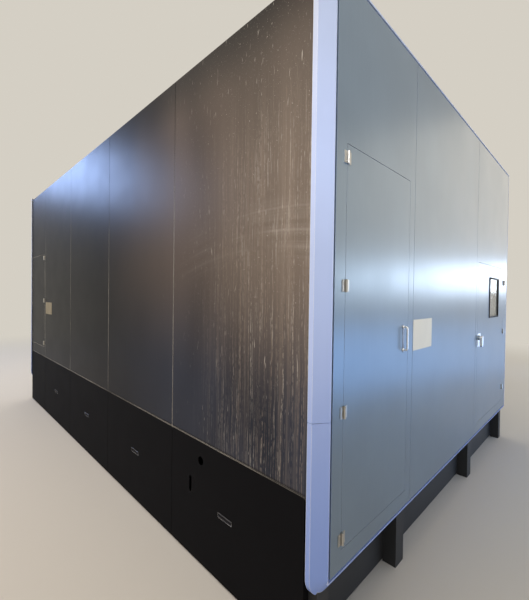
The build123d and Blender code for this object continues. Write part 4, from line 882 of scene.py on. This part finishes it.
def close_form(form: bmesh.types.BMesh, name: str) -> Mesh:
    """Turns a form's faces outwards and makes it a mesh.

    Args:
        form: The form, which is freed.
        name: The mesh's name.

    Returns:
        The mesh.
    """
    mesh = bpy.data.meshes.new(name)
    bmesh.ops.recalc_face_normals(form, faces=form.faces)
    form.to_mesh(mesh)
    form.free()
    return mesh


@dataclass
class Workshop:
    """What every sub-assembly is built with: the finishes, the trees and the frame's facts."""

    palette: Palette

    def __post_init__(self) -> None:
        """Makes the three trees, and reads where the joints are."""
        self.screws, self.seals, self.slats = screw_tree(), seal_tree(), slat_tree()
        joints = frame["record"]["behaviour"]["joints"]
        self.pivots = {joint["name"]: Vector(joint["pos_m"]) for joint in joints if "pos_m" in joint}

    def span(self, node: str) -> tuple[Vector, Vector]:
        """A CAD node's lowest and highest corners."""
        low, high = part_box(node)
        return Vector(low), Vector(high)

    def keep(self, made: Object, body: str, finish: Finish | None = None, slot: str | None = None) -> Object:
        """Gives a finished piece its material and the body that it rides on.

        Args:
            made: The piece, with its place in its mesh.
            body: The CAD body's name.
            finish: What it is made of, or None where its mesh has the material.
            slot: Not used.

        Returns:
            The same piece.
        """
        if finish is not None:
            made.data.materials.clear()
            made.data.materials.append(self.palette[finish])
        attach(made, body)
        log.info("%s rides on %s, %d faces", made.name, body, len(made.data.polygons))
        return made

    def grow(self, name: str, host: Mesh, tree: NodeTree, values: dict, finish: Finish) -> Object:
        """Runs a Geometry Nodes tree on a mesh and keeps the result as a plain mesh.

        Args:
            name: The piece's name.
            host: The mesh that the tree starts from.
            tree: The tree.
            values: Its inputs, by name.
            finish: What the result is made of.

        Returns:
            The piece, unturned at the origin.
        """
        made = add_object(name, host)
        modifier = made.modifiers.new("tree", "NODES")
        modifier.node_group = tree
        for label, value in {**values, "Material": self.palette[finish]}.items():
            modifier[Tree.identifier(tree, label)] = value
        depsgraph = bpy.context.evaluated_depsgraph_get()
        result = bpy.data.meshes.new_from_object(made.evaluated_get(depsgraph))
        made.modifiers.remove(modifier)
        made.data = result
        made.data.name = name
        return made

    def screw_row(
        self, name: str, places: list[tuple[Vector, Vector]], body: str, head_mm: Triple, finish: Finish = ZINC
    ) -> Object:
        """Screws at the given places.

        Args:
            name: The piece's name.
            places: Each screw's seat and the way that its head faces.
            body: The CAD body that they ride on.
            head_mm: The head's radius, its height and its socket's radius.
            finish: What they are made of.

        Returns:
            All of them as one piece.
        """
        host = bpy.data.meshes.new(f"{name}_places")
        host.from_pydata([tuple(seat) for seat, _ in places], [], [])
        facing = host.attributes.new("facing", "FLOAT_VECTOR", "POINT")
        for number, (_, way) in enumerate(places):
            facing.data[number].vector = way
        radius, height, socket = (v * MM for v in head_mm)
        values = {"Head Radius": radius, "Head Height": height, "Socket Radius": socket}
        return self.keep(self.grow(name, host, self.screws, values, finish), body)

    def seal(
        self, name: str, centre: Vector, facing: Vector, size: Pair, body: str, bead: float, corner: float = 12 * MM
    ) -> Object:
        """A rubber bead round an opening.

        Args:
            name: The piece's name.
            centre: The middle of the opening.
            facing: The way that the opening faces, level.
            size: The bead's width and height along its middle line.
            body: The CAD body that it rides on.
            bead: The bead's radius.
            corner: The radius of its corners.

        Returns:
            The piece.
        """
        host = bpy.data.meshes.new(f"{name}_path")
        values = {"Width": size[0], "Height": size[1], "Corner": corner, "Bead": bead}
        made = self.grow(name, host, self.seals, values, EDGE_RUBBER)
        stand(made.data, centre, facing)
        return self.keep(made, body)

    def plate(
        self, name: str, centre: Vector, facing: Vector, size: Pair, body: str,
        thick: float, corner: float, finish: Finish,
    ) -> Object:
        """A flat plate with rounded corners, seated on a face.

        Args:
            name: The piece's name.
            centre: The middle of its seat.
            facing: The way that it faces, level.
            size: Its width and height.
            body: The CAD body that it rides on.
            thick: Its thickness.
            corner: The radius of its corners.
            finish: What it is made of.

        Returns:
            The piece.
        """
        form = bmesh.new()
        outline = []
        steps = 6  # faces round each corner
        half_wide, half_high = size[0] / 2 - corner, size[1] / 2 - corner
        for quarter, (x, y) in enumerate(((1, 1), (-1, 1), (-1, -1), (1, -1))):
            for step in range(steps + 1):
                angle = math.pi / 2 * (quarter + step / steps)
                point = (x * half_wide + corner * math.cos(angle), y * half_high + corner * math.sin(angle), 0)
                outline.append(form.verts.new(point))
        moved = bmesh.ops.extrude_face_region(form, geom=[form.faces.new(outline)])["geom"]
        top = [v for v in moved if isinstance(v, bmesh.types.BMVert)]
        bmesh.ops.translate(form, verts=top, vec=(0, 0, thick))
        mesh = close_form(form, name)
        stand(mesh, centre, facing)
        return self.keep(add_object(name, mesh), body, finish)


# Sub-assemblies


@dataclass
class Assembly:
    """A sub-assembly, with the workshop that it is built in."""

    shop: Workshop

    def build(self) -> None:
        """Makes the pieces; each sub-assembly has its own way."""
        raise NotImplementedError


class CadSurfaces(Assembly):
    """Gives every CAD node the finish of its record slot."""

    def build(self) -> None:
        """Dresses the nodes."""
        for row in frame["record"]["subparts"]:
            node = frame["nodes"][row["node"]]
            node.data.materials.clear()
            node.data.materials.append(self.shop.palette[SLOT_FINISHES[row["material_slot"]]])
            log.info("%s is %s", row["node"], row["material_slot"])


@dataclass
class HingeScrews(Assembly):
    """Low-headed screws in every hinge leaf."""

    leaf_reach: float = 16.5 * MM
    leaf_thick: float = 3 * MM
    screw_rise: float = 16 * MM
    head_mm: Triple = (4.2, 1.2, 2.0)
    leaf_pitch: float = 0.2  # leaves stand further apart than this

    def rows(self, heights: list[float], pin: Vector, along: Vector, facing: Vector) -> list[tuple[Vector, Vector]]:
        """The screws of one leaf at each hinge, one above and one below its middle.

        Args:
            heights: The hinges' middle heights.
            pin: A point on the hinges' axis.
            along: The way from the pin to the leaf.
            facing: The way that the leaf faces.

        Returns:
            Each screw's seat and the way that its head faces.
        """
        seat = pin + along * self.leaf_reach + facing * self.leaf_thick
        rises = (-self.screw_rise, self.screw_rise)
        return [(Vector((seat.x, seat.y, height + rise)), facing) for height in heights for rise in rises]

    def heights(self, node: str) -> list[float]:
        """The middle heights of a node's separate leaves, read from its mesh.

        Args:
            node: The leaves' CAD node.

        Returns:
            The heights, from the lowest up.
        """
        levels = sorted({round(v.co.z, 4) for v in frame["nodes"][node].data.vertices})
        groups: list[list[float]] = []
        for level in levels:
            if groups and level - groups[-1][-1] < self.leaf_pitch:
                groups[-1].append(level)
            else:
                groups.append([level])
        return [(group[0] + group[-1]) / 2 for group in groups]

    def build(self) -> None:
        """Adds the screws of the three hinged doors."""
        for door, facing in (("service_door", LEFT), ("magazine_door", LEFT), ("rear_door", REAR)):
            pivot = self.shop.pivots[f"{door}_swing"]
            low, high = self.shop.span(f"{door}_leaves")
            pin = Vector((high.x, pivot.y, 0)) if facing == LEFT else Vector((pivot.x, low.y, 0))
            middle = sum(self.shop.span(door), Vector()) / 2
            along = ((middle - pin) * sideways(facing)).normalized()
            heights = self.heights(f"{door}_leaves")
            for part, way, body in (("leaf", along, door), ("frame", -along, "enclosure")):
                places = self.rows(heights, pin, way, facing)
                self.shop.screw_row(f"{door}_{part}_screws", places, body, self.head_mm)


@dataclass
class BlankPlates(Assembly):
    """Two bare cream plates, one on the left side and one on the rear."""

    thick: float = 1.2 * MM
    corner: float = 6 * MM
    side_y: Pair = (0.578, 0.873)
    side_z: Pair = (1.255, 1.437)
    rear_x: Pair = (1.48, 1.77)
    rear_z: Pair = (1.29, 1.44)

    def build(self) -> None:
        """Seats both plates on the panels' outer faces."""
        left = Vector((self.shop.span("panel_left_middle")[0].x, 0, 0))
        rear = Vector((0, self.shop.span("rear_panels")[1].y, 0))
        rows = (
            ("side_blank_plate", LEFT, left, self.side_y, self.side_z, LAMINATE),
            ("rear_blank_plate", REAR, rear, self.rear_x, self.rear_z, AGED_LAMINATE),
        )
        for name, facing, skin, wide, high, finish in rows:
            centre = skin + sideways(facing) * (sum(wide) / 2) + UP * (sum(high) / 2)
            size = (wide[1] - wide[0], high[1] - high[0])
            self.shop.plate(name, centre, facing, size, "enclosure", self.thick, self.corner, finish)


@dataclass
class DoorPlates(Assembly):
    """Satin plates behind the service door's pull and behind the window door's latch."""

    thick: float = 1.5 * MM
    corner: float = 5 * MM
    pull_margin: Pair = (0.002, 0.004)
    latch_size: Pair = (0.098, 0.116)
    latch_edge_gap: float = 6 * MM
    latch_drop: float = 22 * MM

    def build(self) -> None:
        """Seats both plates on the doors' skins."""
        low, high = self.shop.span("service_door_pull")
        middle = (low + high) / 2
        centre = Vector((high.x, middle.y, middle.z))
        size = (high.y - low.y + 2 * self.pull_margin[0], high.z - low.z + 2 * self.pull_margin[1])
        self.shop.plate("pull_plate", centre, LEFT, size, "service_door", self.thick, self.corner, STAINLESS_PLATE)
        size = self.latch_size
        edge = self.shop.span("magazine_door")[1].y - self.latch_edge_gap
        height = self.shop.pivots["magazine_latch_turn"].z - self.latch_drop
        centre = Vector((self.shop.span("service_door")[0].x, edge - size[0] / 2, height))
        self.shop.plate("latch_plate", centre, LEFT, size, "magazine_door", self.thick, self.corner, ANODISED)


@dataclass
class DoorInsides(Assembly):
    """Folded stiffeners across the trays of the three hinged doors, and a rubber bead clipped round each rim."""

    sheet: float = 2 * MM
    bead: float = 4 * MM
    bead_corner: float = 14 * MM
    end_room: float = 6 * MM
    hat_mm: tuple[Pair, ...] = ((-40, 0), (-20, 0), (-15, 20), (15, 20), (20, 0), (40, 0))
    hat_sheet_mm: float = 1.5

    def section(self) -> list[Pair]:
        """The closed outline of a hat section: its seat, then its top, as heights and depths.

        Returns:
            The outline's corners, in metres.
        """
        seat = [(rise * MM, depth * MM) for rise, depth in self.hat_mm]
        lift = self.hat_sheet_mm * MM
        top = [(rise + math.copysign(lift, rise) * (depth > 0), depth + lift) for rise, depth in reversed(seat)]
        return seat + top

    def stiffeners(self, name: str, low: Vector, high: Vector, inward: Vector, levels: list[float]) -> Mesh:
        """Hat sections that cross a tray.

        Args:
            name: The mesh's name.
            low: The lowest corner of the tray's inner skin.
            high: Its highest corner, on the same plane.
            inward: The way into the machine.
            levels: Each section's height.

        Returns:
            All of them in one mesh.
        """
        form = bmesh.new()
        for level in levels:
            bases = [Vector((corner.x, corner.y, level)) for corner in (low, high)]
            first, last = (
                [form.verts.new(base + UP * rise + inward * depth) for rise, depth in self.section()]
                for base in bases
            )
            for n, start in enumerate(first):
                m = (n + 1) % len(first)
                form.faces.new((start, first[m], last[m], last[n]))
            form.faces.new(first)
            form.faces.new(last)
        return close_form(form, name)

    def build(self) -> None:
        """Adds the stiffeners and the bead of each door."""
        doors = (
            # the stiffeners' heights are shares of the door's, clear of its window and its latch
            ("service_door", LEFT, "service_door", (0.25, 0.75), SIDE, "side_paint"),
            ("magazine_door", LEFT, "service_door", (0.2, 0.42), SIDE, "side_paint"),
            ("rear_door", REAR, "rear_door", (0.25, 0.75), STAINED, "rear_paint"),
        )
        for door, facing, skin_node, shares, finish, slot in doors:
            low, high = self.shop.span(door)
            skin_low, skin_high = self.shop.span(skin_node)
            skin, rim = (skin_low.x, high.x) if facing == LEFT else (skin_high.y, low.y)
            across, depth = sideways(facing), Vector((abs(facing.x), abs(facing.y), 0))
            room = across * (self.sheet + self.end_room)
            plane = depth * skin - facing * self.sheet
            ends = (plane + across * low.dot(across) + room, plane + across * high.dot(across) - room)
            levels = [low.z + share * (high.z - low.z) for share in shares]
            mesh = self.stiffeners(f"{door}_stiffeners", *ends, -facing, levels)
            self.shop.keep(add_object(mesh.name, mesh), door, finish, slot)
            inset = 2 * (self.sheet + self.bead)
            size = ((high - low).dot(across) - inset, high.z - low.z - inset)
            middle = (low + high) / 2
            centre = depth * rim + facing * self.bead + across * middle.dot(across) + UP * middle.z
            self.shop.seal(f"{door}_bead", centre, facing, size, door, self.bead, self.bead_corner)


@dataclass
class FrontDoors(Assembly):
    """Rubber seals round the windows of the sliding doors."""

    bead: float = 4 * MM
    proud: float = 2 * MM

    def build(self) -> None:
        """Adds one seal to each window."""
        for side in ("left", "right"):
            low, high = self.shop.span(f"front_window_{side}")
            centre = (low + high) / 2
            centre.y = low.y - self.proud
            size = (high.x - low.x - 2 * self.bead, high.z - low.z - 2 * self.bead)
            self.shop.seal(f"front_window_seal_{side}", centre, FRONT, size, f"front_door_{side}", self.bead)


@dataclass
class RailScrews(Assembly):
    """Screw caps along the top of the two X rails."""

    pitch: float = 105 * MM
    inset: float = 52 * MM
    rail_half: float = 22.5 * MM
    rail_top: float = 0.744
    head_mm: Triple = (9.0, 0.25, 4.0)

    def build(self) -> None:
        """Adds a row of caps to each rail."""
        low, high = self.shop.span("x_guides")
        count = int((high.x - low.x - 2 * self.inset) / self.pitch) + 1
        places = [
            (Vector((low.x + self.inset + n * self.pitch, y, self.rail_top)), UP)
            for y in (low.y + self.rail_half, high.y - self.rail_half)
            for n in range(count)
        ]
        self.shop.screw_row("x_rail_caps", places, "enclosure", self.head_mm, BLACK_OXIDE)


@dataclass
class DriveFins(Assembly):
    """Cooling slats on the outer face of each drive module."""

    slat_count: int = 9
    slat: Triple = (0.004, 0.012, 0.24)
    pitch: float = 0.0085
    modules: int = 5
    module_pitch: float = 0.1
    drops: Pair = (0.27, 0.8)  # of the upper and the lower row, from the cabinet's top

    def build(self) -> None:
        """Adds a bank of slats to each module."""
        face = self.shop.span("drive_modules")[1].y + self.slat[1] / 2
        low, high = self.shop.span("electrical_cabinet")
        start = (low.x + high.x) / 2 - self.pitch * (self.slat_count - 1) / 2
        steps = [(n - (self.modules - 1) / 2) * self.module_pitch for n in range(self.modules)]
        host = bpy.data.meshes.new("drive_slat_places")
        host.from_pydata([(start + step, face, high.z - drop) for drop in self.drops for step in steps], [], [])
        values = {"Count": self.slat_count, "Pitch": (self.pitch, 0, 0), "Slat": self.slat}
        self.shop.keep(self.shop.grow("drive_slats", host, self.shop.slats, values, DRIVE_PLASTIC), "enclosure")


@dataclass
class Pendant(Assembly):
    """The cover glass over the pendant's screen."""

    size: Pair = (0.34, 0.25)
    thick: float = 0.6 * MM
    corner: float = 6 * MM
    sunk: float = 1 * MM
    drop: float = 0.195  # of its middle, from the housing's top

    def build(self) -> None:
        """Seats the glass in its panel."""
        low, high = self.shop.span("pendant_panel")
        front, top = self.shop.span("pendant_housing")
        centre = Vector(((low.x + high.x) / 2, front.y + self.sunk, top.z - self.drop))
        self.shop.plate("pendant_screen", centre, FRONT, self.size, "pendant", self.thick, self.corner, SCREEN)


# The studio


@dataclass(frozen=True)
class Lamp:
    """A soft rectangular lamp that points at a target and spreads over so many degrees."""

    name: str
    place: Triple
    target: Triple
    size: Pair
    watts: float
    tint: str
    spread: float = 180.0

    def hang(self) -> None:
        """Makes the lamp, which the camera doesn't see."""
        data = bpy.data.lights.new(self.name, "AREA")
        data.shape = "RECTANGLE"
        data.size, data.size_y = self.size
        data.energy = self.watts
        data.color = linear(self.tint)[:3]
        data.spread = math.radians(self.spread)
        made = add_object(self.name, data)
        made.location = self.place
        made.rotation_euler = (Vector(self.target) - made.location).to_track_quat("-Z", "Y").to_euler()
        made.visible_camera = False


# A broad ceiling light, a wall, a window band and a low glow at the front left, and lights behind.
LAMPS = (
    Lamp("ceiling", (1.5, 1.0, 7.5), (0, 0, 0), (12.0, 8.0), 540.0, "#FFF1DC"),
    Lamp("far_wall", (-6.8, -11.0, 5.6), (-2.6, 0.4, 2.2), (9.0, 5.0), 48.0, "#FFEED4", 110.0),
    Lamp("window_band", (-7.1, -10.7, 2.3), (-2.6, 0.8, 1.8), (8.5, 1.0), 60.0, "#E4F0FF", 110.0),
    Lamp("low_glow", (-4.3, -3.6, 0.6), (-2.6, -3.2, 1.3), (8.0, 1.0), 54.0, "#86BCFF", 130.0),
    Lamp("corner", (-5.6, 4.4, 4.2), (-2.6, 1.7, 2.9), (1.8, 1.8), 24.0, "#E6EAF4", 68.0),
    Lamp("skylight", (11.3, 5.1, 6.4), (0.3, 1.8, 2.7), (2.0, 2.0), 480.0, "#A9C6FF"),
    Lamp("rear_high", (-1.0, 9.0, 6.5), (-1.0, 1.5, 1.6), (7.0, 3.0), 250.0, "#FFEBD2"),
)


@dataclass
class Studio:
    """A pale floor, soft lamps and the camera at the photograph's angle."""

    focal_px: float = 341.88
    frame_height_px: float = 600.0
    sensor_mm: float = 36.0
    camera_place: Triple = (-3.425, 2.903, 1.570)
    yaw: float = 134.899
    pitch: float = -0.82
    roll: float = 0.762
    floor_size: float = 60.0
    floor_colour: str = "#CFCBC3"
    floor_roughness: float = 0.75
    floor_fade: Pair = (4.5, 12.0)  # how far out the floor starts and ends to fade
    backdrop: float = 0.78
    backdrop_tint: str = "#EDE7DB"
    fill: float = 0.4

    def camera(self) -> None:
        """Sets the camera where the photograph was taken from."""
        yaw, pitch, roll = (math.radians(a) for a in (self.yaw, self.pitch, self.roll))
        ahead = Vector((math.cos(pitch) * math.sin(yaw), math.cos(pitch) * math.cos(yaw), math.sin(pitch)))
        level = Vector((math.cos(yaw), -math.sin(yaw), 0))
        upright = level.cross(ahead)
        right = math.cos(roll) * level + math.sin(roll) * upright
        up = -math.sin(roll) * level + math.cos(roll) * upright
        data = bpy.data.cameras.new("camera")
        data.sensor_width = self.sensor_mm
        data.lens = self.focal_px / self.frame_height_px * self.sensor_mm
        data.clip_start, data.clip_end = 0.02, 200.0
        made = add_object("camera", data)
        turn = Matrix((right, up, -ahead)).transposed().to_4x4()
        made.matrix_world = Matrix.Translation(self.camera_place) @ turn
        bpy.context.scene.camera = made

    @staticmethod
    def seen(board: Board) -> NodeSocket:
        """1 for what the camera sees, also in gloss and through glass.

        Args:
            board: The world's or the floor's tree.

        Returns:
            The mask's output.
        """
        rays = board.add("ShaderNodeLightPath").outputs
        mask = rays["Is Camera Ray"]
        for kind in ("Is Glossy Ray", "Is Transmission Ray"):
            mask = board.add("ShaderNodeMath", {0: mask, 1: rays[kind]}, operation="MAXIMUM").outputs["Value"]
        return mask

    def world(self) -> None:
        """A pale background for the camera, for gloss and through glass, over a weak even light."""
        made = bpy.data.worlds.new("studio")
        bpy.context.scene.world = made
        made.use_nodes = True
        made.node_tree.nodes.clear()
        board = Board(made.node_tree)
        levels = {"Value": self.seen(board), "To Min": self.fill, "To Max": self.backdrop}
        strength = board.add("ShaderNodeMapRange", levels).outputs["Result"]
        light = {"Color": linear(self.backdrop_tint), "Strength": strength}
        sky = board.add("ShaderNodeBackground", light)
        board.add("ShaderNodeOutputWorld", {"Surface": sky.outputs["Background"]})

    def floor_material(self) -> Material:
        """A plain pale floor that keeps the shadow, and fades into the background far away.

        Returns:
            The material.
        """
        made = Finish("floor", self.floor_colour, self.floor_roughness).material()
        board = Board(made.node_tree)
        output = next(node for node in made.node_tree.nodes if node.type == "OUTPUT_MATERIAL")
        surface = output.inputs["Surface"]
        place = board.add("ShaderNodeTexCoord").outputs["Object"]
        away = board.add("ShaderNodeVectorMath", {0: place}, operation="LENGTH").outputs["Value"]
        far = board.overlap(board.ramps(away, self.floor_fade), self.seen(board))
        light = {"Color": linear(self.backdrop_tint), "Strength": self.backdrop}
        glow = board.add("ShaderNodeEmission", light).outputs["Emission"]
        mixed = board.add("ShaderNodeMixShader", {0: far, 1: surface.links[0].from_socket, 2: glow})
        made.node_tree.links.new(mixed.outputs["Shader"], surface)
        return made

    def floor(self) -> None:
        """Lays the floor under the machine."""
        mesh = bpy.data.meshes.new("floor")
        half = self.floor_size / 2
        corners = ((-half, -half, 0), (half, -half, 0), (half, half, 0), (-half, half, 0))
        mesh.from_pydata(corners, [], [(0, 1, 2, 3)])
        mesh.materials.append(self.floor_material())
        made = add_object("floor", mesh)

    def build(self) -> None:
        """Sets up the whole studio."""
        bpy.context.scene.view_settings.view_transform = "Standard"
        self.camera()
        for lamp in LAMPS:
            lamp.hang()
        self.world()
        self.floor()


def main() -> None:
    """Builds every sub-assembly in order."""
    logging.basicConfig(level=logging.INFO, format="%(message)s")
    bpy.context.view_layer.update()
    shop = Workshop(Palette())
    for assembly in (
        CadSurfaces(shop),
        HingeScrews(shop),
        BlankPlates(shop),
        DoorPlates(shop),
        DoorInsides(shop),
        FrontDoors(shop),
        RailScrews(shop),
        DriveFins(shop),
        Pendant(shop),
        Studio(),
    ):
        assembly.build()
        log.info("%s built", type(assembly).__name__)


if __name__ == "__main__":
    main()
